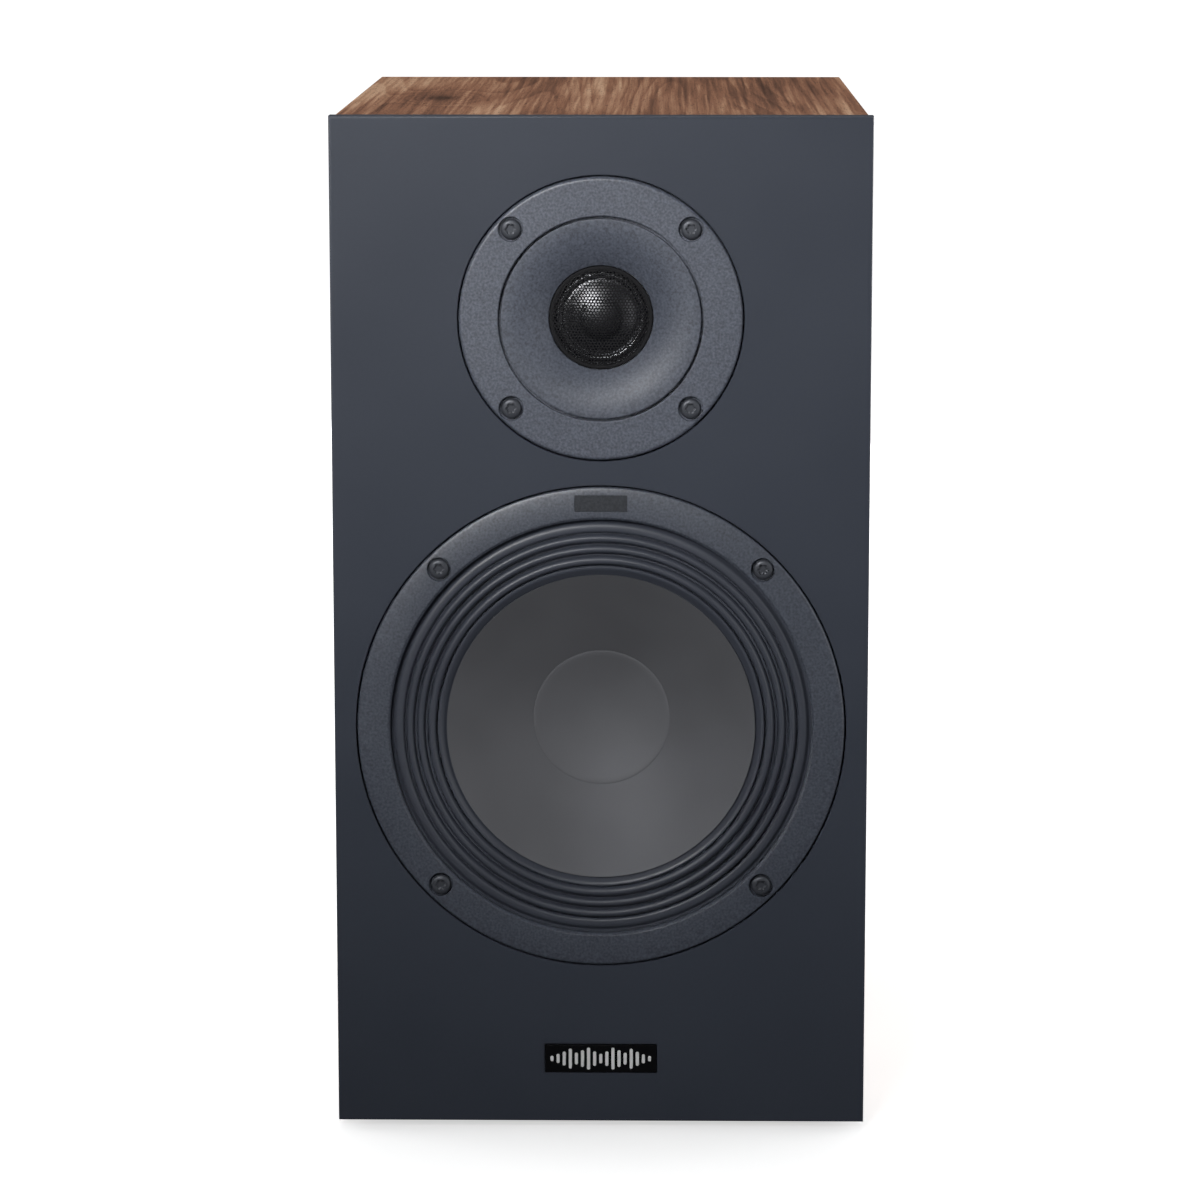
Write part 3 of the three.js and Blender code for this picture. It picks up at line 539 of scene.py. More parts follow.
@dataclass(frozen=True)
class Wound(Finish):
    """Wire laid in close turns."""

    pitch: float = 0.8
    depth: float = 0.2
    dark: str = "#000000"

    def pattern(self, tree: Tree, place: Socket) -> dict[str, Socket]:
        """Round ridges across the axis, with painted shade darkening the valleys.

        Args:
            tree: The material's node tree.
            place: Object coordinates in millimetres.

        Returns:
            Sockets by the shader's input name.
        """
        turns = add(
            tree,
            "ShaderNodeTexWave",
            {"Vector": place, "Scale": math.tau / (20 * self.pitch), "Distortion": 0.4, "Detail": 1.0},
            bands_direction="Y",
        ).outputs["Fac"]
        shade = add(tree, "ShaderNodeValToRGB", {"Fac": turns})
        # The dark colour in the valleys between turns is painted shade.
        set_stops(shade, [(0.0, self.dark), (0.45, self.colour), (1.0, self.colour)])
        bump = add(tree, "ShaderNodeBump", {"Height": turns, "Strength": 0.8, "Distance": self.depth * MM})
        return {"Base Color": shade.outputs["Color"], "Normal": bump.outputs[0]}


@dataclass(frozen=True)
class Spun(Finish):
    """Sheet or bar metal with an even satin skin and a soft cloudy sheen."""

    satin: float = 0.4  # size of one grain of the satin
    satin_depth: float = 0.004
    cloud: float = 26.0  # size of one cloud

    def pattern(self, tree: Tree, place: Socket) -> dict[str, Socket]:
        """Faint cloudiness in tone and a very fine satin grain.

        Args:
            tree: The material's node tree.
            place: Object coordinates in millimetres.

        Returns:
            Sockets by the shader's input name.
        """
        grain, cloud = (
            add(
                tree,
                "ShaderNodeTexNoise",
                {"Vector": place, "Scale": 1 / size, "Detail": detail},
            ).outputs["Fac"]
            for size, detail in ((self.satin, 3.0), (self.cloud, 1.0))
        )
        tone, rough = (
            add(
                tree,
                "ShaderNodeMapRange",
                {"Value": value, 1: NOISE_LOW, 2: NOISE_HIGH, 3: low, 4: high},
            ).outputs[0]
            for value, low, high in (
                (cloud, 0.95, 1.05),
                (grain, self.roughness - 0.02, self.roughness + 0.03),
            )
        )
        colour = add(
            tree,
            "ShaderNodeVectorMath",
            {0: linear(self.colour)[:3], "Scale": tone},
            operation="SCALE",
        )
        bump = add(
            tree,
            "ShaderNodeBump",
            {"Height": grain, "Strength": 0.5, "Distance": self.satin_depth * MM},
        )
        return {"Base Color": colour.outputs[0], "Roughness": rough, "Normal": bump.outputs[0]}


@dataclass(frozen=True)
class Woven(Finish):
    """Plain-woven cloth, stiff with resin: crossed threads, with painted shade in the gaps between them."""

    thread: float = 0.6
    dark: str = "#000000"

    def pattern(self, tree: Tree, place: Socket) -> dict[str, Socket]:
        """Two crossed sets of threads, across and up.

        Args:
            tree: The material's node tree.
            place: Object coordinates in millimetres.

        Returns:
            Sockets by the shader's input name.
        """
        across, up = (
            add(
                tree,
                "ShaderNodeTexWave",
                {"Vector": place, "Scale": math.tau / (20 * self.thread), "Distortion": 0.6},
                bands_direction=direction,
            ).outputs["Fac"]
            for direction in ("X", "Z")
        )
        weave = add(tree, "ShaderNodeMath", {0: across, 1: up}, operation="MULTIPLY").outputs[0]
        shade = add(tree, "ShaderNodeValToRGB", {"Fac": weave})
        # The dark colour where neither thread lies on top is painted shade in the gaps.
        set_stops(shade, [(0.0, self.dark), (0.5, self.colour), (1.0, self.colour)])
        bump = add(tree, "ShaderNodeBump", {"Height": weave, "Strength": 0.7, "Distance": 0.1 * MM})
        return {"Base Color": shade.outputs["Color"], "Normal": bump.outputs[0]}


@dataclass(frozen=True)
class Fibrous(Finish):
    """Loose fibres or pressed wood dust: fine crossing strands in two tones."""

    fibre: float = 0.5
    length: float = 8.0
    dark: str = "#000000"
    depth: float = 0.2

    def pattern(self, tree: Tree, place: Socket) -> dict[str, Socket]:
        """Stretched noise in two directions, lighter where strands lie on top; the darker tone in the hollows
        between them is painted shade.

        Args:
            tree: The material's node tree.
            place: Object coordinates in millimetres.

        Returns:
            Sockets by the shader's input name.
        """
        thin, long = 1 / self.fibre, 1 / self.length
        strands = []
        for squeeze in ((long, thin, thin), (thin, long, thin)):
            laid = add(tree, "ShaderNodeVectorMath", {0: place, 1: squeeze}, operation="MULTIPLY")
            spots = {"Vector": laid.outputs[0], "Scale": 1.0, "Detail": 3.0}
            strands.append(add(tree, "ShaderNodeTexNoise", spots).outputs["Fac"])
        first, second = strands
        top = add(tree, "ShaderNodeMath", {0: first, 1: second}, operation="MAXIMUM").outputs[0]
        shade = add(tree, "ShaderNodeValToRGB", {"Fac": top})
        # The dark colour in the hollows under the top strands is painted shade.
        set_stops(shade, [(0.35, self.dark), (0.65, self.colour)])
        bump = add(tree, "ShaderNodeBump", {"Height": top, "Strength": 0.6, "Distance": self.depth * MM})
        return {"Base Color": shade.outputs["Color"], "Normal": bump.outputs[0]}


class Grain(Enum):
    """Which way a panel's grain runs, as the order of axes: across, along, through."""

    FRONT_TO_BACK = ("X", "Y", "Z")
    UPRIGHT = ("Y", "Z", "X")
    UPRIGHT_REAR = ("X", "Z", "Y")
    LEVEL = ("Z", "X", "Y")


@dataclass(frozen=True)
class Walnut(Finish):
    """Sliced walnut veneer, open-pored under matt lacquer.

    Growth rings run as long flat arches, broken by fine streaks and short dark pores, so
    that the eye reads brown and tan bands with a silky, slightly rough skin.
    """

    grain: Grain = Grain.FRONT_TO_BACK
    offset: tuple[float, float, float] = (0.0, 0.0, 0.0)
    knot: tuple[float, float] | None = None  # across and along
    knot_size: tuple[float, float] = (13.0, 34.0)
    ring_count: float = 17.0  # rings for the whole range of the noise
    sway: float = 4.5  # how far the grain strays to each side
    swell: float = 0.32  # how strongly rings bend round the knot

    def pattern(self, tree: Tree, place: Socket) -> dict[str, Socket]:
        """Rings, streaks, pores and a knot, from noise stretched along the grain.

        Args:
            tree: The material's node tree.
            place: Object coordinates in millimetres.

        Returns:
            Sockets by the shader's input name.
        """
        axes = add(tree, "ShaderNodeSeparateXYZ", {0: place})
        order = {i: axes.outputs[axis] for i, axis in enumerate(self.grain.value)}
        laid = add(tree, "ShaderNodeCombineXYZ", order).outputs[0]
        own = add(tree, "ShaderNodeVectorMath", {0: laid, 1: self.offset}, operation="ADD").outputs[0]
        noises: dict[str, Socket] = {}
        for name, (across, along), detail in WALNUT_LAYERS:
            squeezed = add(
                tree,
                "ShaderNodeVectorMath",
                {0: own, 1: (1 / across, 1 / along, 1 / across)},
                operation="MULTIPLY",
            )
            spots = {"Vector": squeezed.outputs[0], "Scale": 1.0, "Detail": detail}
            noises[name] = add(tree, "ShaderNodeTexNoise", spots).outputs["Fac"]
            if name == "sway":
                widths = {0: noises[name], 1: 2 * self.sway, 2: -self.sway}
                reach = add(tree, "ShaderNodeMath", widths, operation="MULTIPLY_ADD")
                aside = add(tree, "ShaderNodeCombineXYZ", {0: reach.outputs[0], 1: 0.0, 2: 0.0})
                swayed = add(tree, "ShaderNodeVectorMath", {0: own, 1: aside.outputs[0]}, operation="ADD")
                own = swayed.outputs[0]
        rings = noises["rings"]
        if self.knot:
            away = add(
                tree,
                "ShaderNodeVectorMath",
                {0: laid, 1: (-self.knot[0], -self.knot[1], 0)},
                operation="ADD",
            )
            shrunk = add(
                tree,
                "ShaderNodeVectorMath",
                {0: away.outputs[0], 1: (1 / self.knot_size[0], 1 / self.knot_size[1], 0)},
                operation="MULTIPLY",
            )
            far = add(tree, "ShaderNodeVectorMath", {0: shrunk.outputs[0]}, operation="LENGTH")
            square = add(tree, "ShaderNodeMath", {0: far.outputs["Value"], 1: 2.0}, operation="POWER")
            fall = {0: 1 / math.e, 1: square.outputs[0]}
            near = add(tree, "ShaderNodeMath", fall, operation="POWER").outputs[0]
            bent = add(tree, "ShaderNodeMath", {0: near, 1: self.swell, 2: rings}, operation="MULTIPLY_ADD")
            rings = bent.outputs[0]
            heart = add(tree, "ShaderNodeMath", {0: near, 1: 6.0}, operation="POWER").outputs[0]
        count = add(tree, "ShaderNodeMath", {0: rings, 1: self.ring_count}, operation="MULTIPLY")
        phase = add(tree, "ShaderNodeMath", {0: count.outputs[0]}, operation="FRACT")
        ring = add(tree, "ShaderNodeValToRGB", {"Fac": phase.outputs[0]})
        set_stops(ring, [(0.0, "#c8c8c8"), (0.62, "#a0a0a0"), (0.9, "#3c3c3c"), (1.0, "#bcbcbc")])
        parts = [
            (ring.outputs["Color"], 0.18),
            (noises["streaks"], 0.60),
            (noises["patches"], 0.74),
            (noises["fine"], 0.16),
        ]
        if self.knot:
            parts.append((heart, -0.24))
        tone: Any = 0.0
        for part, weight in parts:
            total = add(tree, "ShaderNodeMath", {0: part, 1: weight, 2: tone}, operation="MULTIPLY_ADD")
            tone = total.outputs[0]
        shade = add(tree, "ShaderNodeValToRGB", {"Fac": tone})
        set_stops(
            shade,
            [(0.52, "#4e3527"), (0.68, "#74503d"), (0.80, self.colour), (0.92, "#b48a6d"), (1.0, "#c9a385")],
        )
        open_pore, rough = (
            add(tree, "ShaderNodeMapRange", {"Value": value, 1: low, 2: high, 3: start, 4: end}).outputs[0]
            for value, low, high, start, end in (
                (noises["pores"], 0.60, 0.70, 1.0, 0.55),
                (noises["streaks"], NOISE_LOW, NOISE_HIGH, self.roughness - 0.05, self.roughness + 0.06),
            )
        )
        colour = add(
            tree,
            "ShaderNodeVectorMath",
            {0: shade.outputs["Color"], "Scale": open_pore},
            operation="SCALE",
        )
        height = add(
            tree,
            "ShaderNodeMath",
            {0: noises["fine"], 1: 0.3, 2: open_pore},
            operation="MULTIPLY_ADD",
        ).outputs[0]
        bump = add(tree, "ShaderNodeBump", {"Height": height, "Strength": 0.6, "Distance": 0.05 * MM})
        return {"Base Color": colour.outputs[0], "Roughness": rough, "Normal": bump.outputs[0]}


# Layers of noise in the veneer: size across and along the grain, and detail. The sway comes
# first, since it pushes the others aside. Pores are drawn at 0.5 mm, a little coarser than real.
WALNUT_LAYERS = (
    ("sway", (90, 700), 2.0),
    ("rings", (46, 900), 1.0),
    ("streaks", (1.7, 160), 3.0),
    ("patches", (38, 300), 2.0),
    ("fine", (0.45, 22), 2.0),
    ("pores", (0.5, 5.5), 1.0),
)


def walnut(
    name: str,
    grain: Grain,
    offset: tuple[float, float, float],
    knot: tuple[float, float] | None = None,
) -> Walnut:
    """The veneer of one panel, cut from its own place in the log.

    Args:
        name: The panel's name.
        grain: Which way the grain runs.
        offset: Where in the log the veneer was cut.
        knot: Where the knot lies, across and along.

    Returns:
        The finish.
    """
    return Walnut(
        name=f"walnut_veneer_{name}",
        slot="walnut_veneer",
        colour="#94684f",
        roughness=0.55,
        specular=0.12,
        grain=grain,
        offset=offset,
        knot=knot,
    )


# Satin lacquer sprayed on sanded fibreboard: an even slate tone whose sheen fades down the board.
BAFFLE_LACQUER = Grained(
    "satin_lacquer_slate", "baffle_lacquer", "#414651", 0.42,
    specular=0.3, grain=1.1, depth=0.004, speckle=0.015, drift=0.02,
)
# ABS moulded in a spark-eroded tool: a frosted, even sparkle. The grain is drawn at 0.85 mm,
# much coarser than the real one.
TRIM = Grained(
    "grained_abs_grey", "trim_satin", "#5c616d", 0.38,
    specular=0.75, grain=0.85, depth=0.06, speckle=0.38, drift=0.03,
)
# The same moulding as the plate, its colour darkened as painted shade: the ring stands out little from the
# board.
RING_PAINTED_SHADE = Grained(
    "grained_abs_grey_painted_shade", "trim_satin", "#4f545f", 0.38,
    specular=0.75, grain=0.85, depth=0.06, speckle=0.34, drift=0.03,
)
# The same plastic with a duller skin and a colour a little darker than the plate's, as painted shade: the
# flare shades off evenly towards its throat.
FLARE_PAINTED_SHADE = Grained(
    "grained_abs_flare_painted_shade", "trim_satin", "#565b67", 0.5,
    specular=0.6, grain=0.85, depth=0.06, speckle=0.34, drift=0.03,
)
# The same plastic, coarsely stippled: a dull dark patch on the ring.
TRIM_PLATE = Grained(
    "stippled_abs_dark", "trim_satin", "#33363c", 0.6, grain=0.9, depth=0.12, speckle=0.3, drift=0.05
)
# Nitrile rubber pressed in a polished mould: dark, with a soft sheen along each roll.
SURROUND = Grained(
    "pressed_nitrile_rubber", "surround_rubber", "#474b55", 0.4,
    specular=0.6, grain=0.8, depth=0.004, speckle=0.03,
)
# Spun aluminium, etched and anodised: a soft grey glow that shifts as the slope turns.
CONE = Spun("anodised_spun_aluminium", "cone_metal", "#6c6d71", 0.62, metallic=0.36)
# Thin bare aluminium drawn to a dome: a small bright glint behind the mesh.
DOME = Spun("thin_drawn_aluminium", "dome_fabric", "#8c8d90", 0.3, metallic=1.0)
# Steel sheet, perforated, pressed and painted black: dull, so that the rows of holes read.
MESH = Grained(
    "black_painted_steel_mesh", "mesh_metal", "#222224", 0.75, specular=0.15, grain=0.3, depth=0.01
)
# Steel blackened in a hot bath: a dark head with a soft glint on its shoulder.
SCREW = Grained(
    "black_oxide_steel", "screw_black", "#4e5158", 0.42, metallic=0.3, grain=0.25, depth=0.006, drift=0.1
)
# ABS moulded in a lightly etched tool: an even black that shows its round edges.
BLACK_PLASTIC = Grained("moulded_abs_black", "black_plastic", "#1f1f21", 0.5, grain=0.5, speckle=0.08)
# Steel sprayed with powder and baked: black with a fine pebbled sheen.
POWDER_COAT = Grained(
    "powder_coated_steel", "basket_black", "#242427", 0.55, grain=0.9, depth=0.04, speckle=0.08
)
# Cast acrylic, polished: a deep black that mirrors the lights sharply.
BADGE = Grained(
    "gloss_black_acrylic", "badge_black", "#0b0b0d", 0.12, coat=0.5, grain=3.0, depth=0.001, speckle=0.05
)
# Foil stamped on hot: crisp, nearly white marks on the black.
PRINT = Grained(
    "hot_foil_white_silver", "badge_black", "#fbfbfb", 0.3,
    specular=0.8, grain=0.5, depth=0.003, speckle=0.02,
)
# Polished moulding under a clear coat: a wet red that tells the positive pole.
CAP_RED = Grained(
    "clear_moulding_red", "cap_red", "#b3161c", 0.16, coat=0.6, grain=2.5, depth=0.003, speckle=0.05
)
# The same in black: sharp bright lines along the ribs.
CAP_BLACK = Grained(
    "clear_moulding_black", "cap_black", "#141416", 0.16, coat=0.6, grain=2.5, depth=0.003, speckle=0.05
)
# Brass, turned and gilded: a warm yellow gleam.
GILT = Spun("gilt_brass", "gilt_brass", "#e0b45c", 0.22, metallic=1.0)
# Steel plated with zinc: a cold grey metal with a faintly blotched shine.
ZINC = Grained(
    "zinc_plated_steel", "zinc_steel", "#b9babb", 0.35,
    metallic=1.0, grain=0.8, depth=0.01, speckle=0.08, drift=0.12,
)
# Ferrite powder pressed and sintered: a gritty matt charcoal.
FERRITE = Grained("sintered_ferrite", "ferrite", "#313134", 0.8, grain=0.5, depth=0.05, speckle=0.15)
# Moulded rubber: a dull black that swallows light.
FOOT = Grained("moulded_rubber_black", "foot_rubber", "#1c1c1d", 0.75, grain=0.6, depth=0.03)
# Fibreboard, sawn and left raw: a dusty tan with short pressed fibres in two tones, the darker partly the
# fibres' own tone and partly painted shade between them.
MDF = Fibrous("raw_fibreboard", "raw_mdf", "#b89a72", 0.85, fibre=0.4, length=2.5, dark="#8d7048", depth=0.05)
# Carded polyester: soft white strands over hollows greyed with painted shade, drawn coarser than real fibres.
WADDING = Fibrous(
    "polyester_wadding", "wadding", "#eeece6", 0.95, fibre=0.5, length=14, dark="#b9b6ad", depth=0.5
)
# Cotton cloth dipped in resin: a tan weave with painted shade in the gaps, its threads drawn coarser than
# real.
SPIDER = Woven("resin_dipped_cotton", "spider_cloth", "#b98d4a", 0.8, thread=0.7, dark="#6b4a1e")
# Enamelled copper wire: red-brown ridges, each with its own glint, and painted shade in the valleys between
# them. The two voice coils are wound in thinner wire than is drawn.
COPPER = Wound(
    "enamelled_copper_wire", "copper_winding", "#b8692f", 0.3,
    metallic=1.0, pitch=0.9, depth=0.3, dark="#4c2409",
)
# Glass-fibre board under a green mask: glossy dark green, slightly uneven.
BOARD = Grained(
    "green_solder_mask", "circuit_board", "#1f5236", 0.35, grain=2.2, depth=0.04, speckle=0.2, drift=0.1
)
# A capacitor dipped in red resin: glossy, with a slightly lumpy skin.
FILM_RED = Grained("dipped_film_red", "film_red", "#9a2417", 0.3, grain=1.2, speckle=0.08)
# Shrunk-on sleeve: black with a soft, slightly wavy gloss.
FILM_BLACK = Grained("shrink_sleeve_black", "black_plastic", "#26262b", 0.35, grain=1.5, speckle=0.08)
# Cement poured in a ceramic case: chalky and nearly white.
CEMENT = Grained("cement_body_white", "ceramic_white", "#d9d6cd", 0.9, depth=0.05, speckle=0.06)


# ---------------------------------------------------------------- sub-assemblies


class Assembly:
    """What every sub-assembly shares: dressing a piece and reporting it."""

    body = "cabinet"

    def dress(
        self, piece: Piece, finish: Finish, stands_for: Sequence[str] = (), body: str | None = None
    ) -> Piece:
        """Gives a piece its finish and its body, and reports it.

        Args:
            piece: The finished piece.
            finish: Its finish.
            stands_for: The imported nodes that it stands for.
            body: The body that it rides on, if not the assembly's own.

        Returns:
            The piece.
        """
        piece.data.materials.clear()
        piece.data.materials.append(finish.material())
        if stands_for:
            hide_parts(*stands_for)
        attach(piece, body or self.body)
        log.info("%s: %s, %d faces", piece.name, finish.name, len(piece.data.polygons))
        return piece

    def dress_node(self, finish: Finish, *nodes: str) -> None:
        """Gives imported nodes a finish, with their shape as it is.

        Args:
            finish: The finish.
            *nodes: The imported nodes' names.
        """
        for name in nodes:
            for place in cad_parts[name].material_slots:
                place.material = finish.material()
            log.info("%s: %s, as packed", name, finish.name)

    def build(self) -> None:
        """Builds and dresses every piece."""
        raise NotImplementedError


@dataclass
class Screw:
    """A pan-head screw with a six-lobed socket."""

    head_radius: float = 3.65
    head_height: float = 1.9
    shank_radius: float = 1.9
    length: float = 16.0
    socket_radius: float = 1.95
    socket_depth: float = 1.2

    def build(self, name: str, axis: Axis) -> Piece:
        """Makes one screw; the head's underside is at the axis's origin.

        Args:
            name: The piece's name.
            axis: The screw's axis, pointing into the work.

        Returns:
            The screw.
        """
        top = -self.head_height
        outline = [
            (0, top),
            (self.head_radius * 0.62, top),
            (self.head_radius * 0.80, top * 0.93),
            (self.head_radius * 0.93, top * 0.74),
            (self.head_radius, top * 0.42),
            (self.head_radius, -0.15),
            (self.head_radius - 0.15, 0),
            (self.shank_radius, 0),
            (self.shank_radius, self.length - 3),
            (0, self.length),
        ]
        screw = turned(name, outline, axis, 40, ring=False)
        lobes = [self.socket_radius * share for share in (1, 0.93, 0.72, 0.93)]
        floor = top + self.socket_depth
        stops = [(1.12, top - 0.3), (1.0, top + 0.12), (1.0, floor - 0.25), (0.7, floor)]
        socket = fluted("socket", lobes, 6, stops, axis)
        join_cut(screw, [socket])
        smooth(screw, 34)
        return screw


CORNER_NAMES = (
    ("upper_left", -1, 1),
    ("upper_right", 1, 1),
    ("lower_left", -1, -1),
    ("lower_right", 1, -1),
)


def four_screws(
    assembly: Assembly, prefix: str, screw: Screw, axis: Axis, reach: tuple[float, float]
) -> None:
    """Sets one screw at each corner.

    Args:
        assembly: The sub-assembly they belong to.
        prefix: The start of their names.
        screw: Their sizes.
        axis: The axis midway between them, at the heads' undersides.
        reach: How far each stands across and up from it.
    """
    places = [(name, axis.shifted(side * reach[0], up * reach[1])) for name, side, up in CORNER_NAMES]
    master = screw.build(f"{prefix}_{places[0][0]}_fine", places[0][1])
    screws = [master] + [
        copied(master, f"{prefix}_{name}_fine", place.origin - places[0][1].origin)
        for name, place in places[1:]
    ]
    for piece, (name, _) in zip(screws, places):
        assembly.dress(piece, SCREW, [f"{prefix}_{name}"])


def screw_holes(
    axis: Axis, reach: float, seat: float, lead_in: tuple[float, float, float]
) -> list[Piece]:
    """Cutters for four counterbored holes round a driver.

    Args:
        axis: The driver's axis.
        reach: How far each hole stands across and up from it.
        seat: Depth of the shoulder that takes the screw's head.
        lead_in: The wider mouth's radius, and the depths where its slope starts and ends.

    Returns:
        The cutters.
    """
    bore, shank = 4.25, 2.3
    mouth, start, end = lead_in
    outline = [
        (0, -3),
        (mouth, -3),
        (mouth, start),
        (bore, end),
        (bore, seat),
        (shank, seat),
        (shank, 6),
        (0, 6),
    ]
    return [
        turned("cutter", outline, axis.shifted(side * reach, up * reach), 40, ring=False)
        for _, side, up in CORNER_NAMES
    ]


@dataclass
class Cabinet(Assembly):
    """The veneered shell, the lacquered baffle, the rear panel, the brace and the feet."""

    chamfer: float = 1.0
    recess_edge: float = 0.2
    mitre_gap: float = 0.03
    fold_round: float = 0.35
    woofer_recess: float = 87.35
    woofer_cut: float = 76.0
    woofer_depth: float = 8.0
    tweeter_recess: float = 50.4
    tweeter_cut: float = 38.0
    tweeter_depth: float = 4.5
    port_hole: float = 37.1
    cup_hole: tuple[float, float] = (45.0, 34.0)  # half its width and height

    def build(self) -> None:
        """Builds the box from the baffle back."""
        self.build_baffle()
        self.build_shell()
        self.build_rear()
        self.build_feet()
        self.build_wadding()
        self.dress_node(MDF, "window_brace")

    def build_baffle(self) -> None:
        """The board with its chamfered edges, driver recesses and badge pocket."""
        low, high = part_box("front_baffle")
        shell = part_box("top_panel")[0]
        seam = shell.y - 0.3 * MM
        inner_low, inner_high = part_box("rear_panel")
        board = block("front_baffle_fine", low, (high.x, seam, high.z))
        bpy.ops.object.mode_set(mode="EDIT")
        select_edges(board, lambda a, b: abs(a.y - b.y) < 1e-6)
        bpy.ops.mesh.bevel(offset=self.chamfer * MM, segments=2, affect="EDGES")
        bpy.ops.object.mode_set(mode="OBJECT")
        tongue = block(
            "tongue",
            (inner_low.x, seam - MM, inner_low.z),
            (inner_high.x, high.y, inner_high.z),
            0.5,
        )
        join_cut(board, [tongue], "UNION")
        cutters = []
        drivers = (
            ("woofer_cone", self.woofer_recess, self.woofer_cut, self.woofer_depth),
            ("tweeter_waveguide", self.tweeter_recess, self.tweeter_cut, self.tweeter_depth),
        )
        for node, recess, cut, depth in drivers:
            middle = sum(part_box(node), Vector()) / 2
            axis = Axis(Vector((0, low.y, middle.z)))
            outline = [
                (0, -3),
                (recess + 3 + self.recess_edge, -3),
                (recess, self.recess_edge),
                (recess, depth),
                (cut, depth),
                (cut, 25),
                (0, 25),
            ]
            cutters.append(turned("cutter", outline, axis, 192, ring=False))
        badge_low, badge_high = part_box("badge_plate")
        room = Vector((0.25, 0, 0.25)) * MM
        cutters.append(block("cutter", badge_low - room, badge_high + room + Vector((0, 0.3 * MM, 0))))
        join_cut(board, cutters)
        smooth(board)
        self.dress(board, BAFFLE_LACQUER, ["front_baffle"])

    def build_shell(self) -> None:
        """Four veneered panels, cut to mitres that all but close."""
        left_low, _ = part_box("left_side_panel")
        _, right_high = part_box("right_side_panel")
        top_low, top_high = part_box("top_panel")
        bottom_low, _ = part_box("bottom_panel")
        low = Vector((left_low.x, top_low.y, bottom_low.z))
        high = Vector((right_high.x, top_high.y, top_high.z))
        wall = top_high.z - top_low.z
        panels = {
            "top_panel": ((low.x, low.y, high.z - wall), high, Grain.FRONT_TO_BACK, (11, 40, 3), (-62, -16)),
            "bottom_panel": (low, (high.x, high.y, low.z + wall), Grain.FRONT_TO_BACK, (310, 90, 60), None),
            "left_side_panel": (low, (low.x + wall, high.y, high.z), Grain.UPRIGHT, (530, 20, 120), None),
            "right_side_panel": ((high.x - wall, low.y, low.z), high, Grain.UPRIGHT, (760, 310, 240), None),
        }
        for name, (start, end, grain, offset, knot) in panels.items():
            panel = block(f"{name}_fine", start, end)
            self.mitre(panel, low, high)
            smooth(panel)
            self.dress(panel, walnut(name, grain, offset, knot), [name])
            if grain is Grain.FRONT_TO_BACK:
                self.band(panel, walnut(f"{name}_edge", Grain.LEVEL, offset[::-1]))

    def mitre(self, panel: Piece, low: Vector, high: Vector) -> None:
        """Cuts a panel's ends at 45 degrees through the shell's corners.

        Args:
            panel: The squared panel.
            low: The shell's lowest corner.
            high: The shell's highest corner.
        """
        middle = (low + high) / 2
        centre = sum((Vector(corner) for corner in panel.bound_box), Vector()) / 8
        level = abs(centre.z - middle.z) > abs(centre.x - middle.x)
        gap = self.mitre_gap * MM
        bpy.ops.object.mode_set(mode="EDIT")
        for x, z in ((low.x, low.z), (low.x, high.z), (high.x, low.z), (high.x, high.z)):
            if level and (z - middle.z) * (centre.z - middle.z) < 0:
                continue
            if not level and (x - middle.x) * (centre.x - middle.x) < 0:
                continue
            side, up = (1 if x > middle.x else -1), (1 if z > middle.z else -1)
            normal = Vector((side, 0, -up)) if level else Vector((-side, 0, up))
            bpy.ops.mesh.select_all(action="SELECT")
            bpy.ops.mesh.bisect(
                plane_co=Vector((x, 0, z)) - normal * gap,
                plane_no=normal,
                use_fill=True,
                clear_outer=True,
            )
        reach = 2.5 * gap
        select_edges(
            panel,
            lambda a, b: abs(a.y - b.y) > MM
            and min(abs(a.x - low.x), abs(a.x - high.x)) < reach
            and min(abs(a.z - low.z), abs(a.z - high.z)) < reach,
        )
        bpy.ops.mesh.bevel(offset=self.fold_round * MM, segments=3, affect="EDGES")
        tidy_shell()
        bpy.ops.object.mode_set(mode="OBJECT")

    def band(self, panel: Piece, finish: Finish) -> None:
        """Gives a panel's cut ends an edging whose grain runs along them.

        Args:
            panel: The dressed panel.
            finish: The edging's finish.
        """
        panel.data.materials.append(finish.material())
        select_only(panel)
        bpy.ops.object.mode_set(mode="EDIT")
        bpy.ops.mesh.select_mode(type="FACE")
        bpy.ops.mesh.select_all(action="DESELECT")
        bpy.ops.object.mode_set(mode="OBJECT")
        for face in panel.data.polygons:
            face.select = abs(face.normal.y) > 0.9
        bpy.ops.object.mode_set(mode="EDIT")
        panel.active_material_index = 1
        bpy.ops.object.material_slot_assign()
        bpy.ops.object.mode_set(mode="OBJECT")

    def build_rear(self) -> None:
        """The rear panel with its port hole and cup cut-out."""
        low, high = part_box("rear_panel")
        panel = block("rear_panel_fine", low, high, 0.4, 2)
        port_low, port_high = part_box("port_tube")
        port = Axis(Vector((0, high.y, (port_low.z + port_high.z) / 2)))
        cup_low, cup_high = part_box("terminal_cup")
        cup = Vector((0, high.y, (cup_low.z + cup_high.z) / 2))
        half = Vector((self.cup_hole[0], 0, self.cup_hole[1])) * MM
        depth = Vector((0, 20, 0)) * MM
        cutters = [
            turned(
                "cutter",
                [(0, -20), (self.port_hole, -20), (self.port_hole, 5), (0, 5)],
                port,
                96,
                ring=False,
            ),
            block("cutter", cup - half - depth, cup + half + depth),
        ]
        join_cut(panel, cutters)
        smooth(panel)
        self.dress(panel, walnut("rear_panel", Grain.UPRIGHT_REAR, (90, 700, 330)), ["rear_panel"])

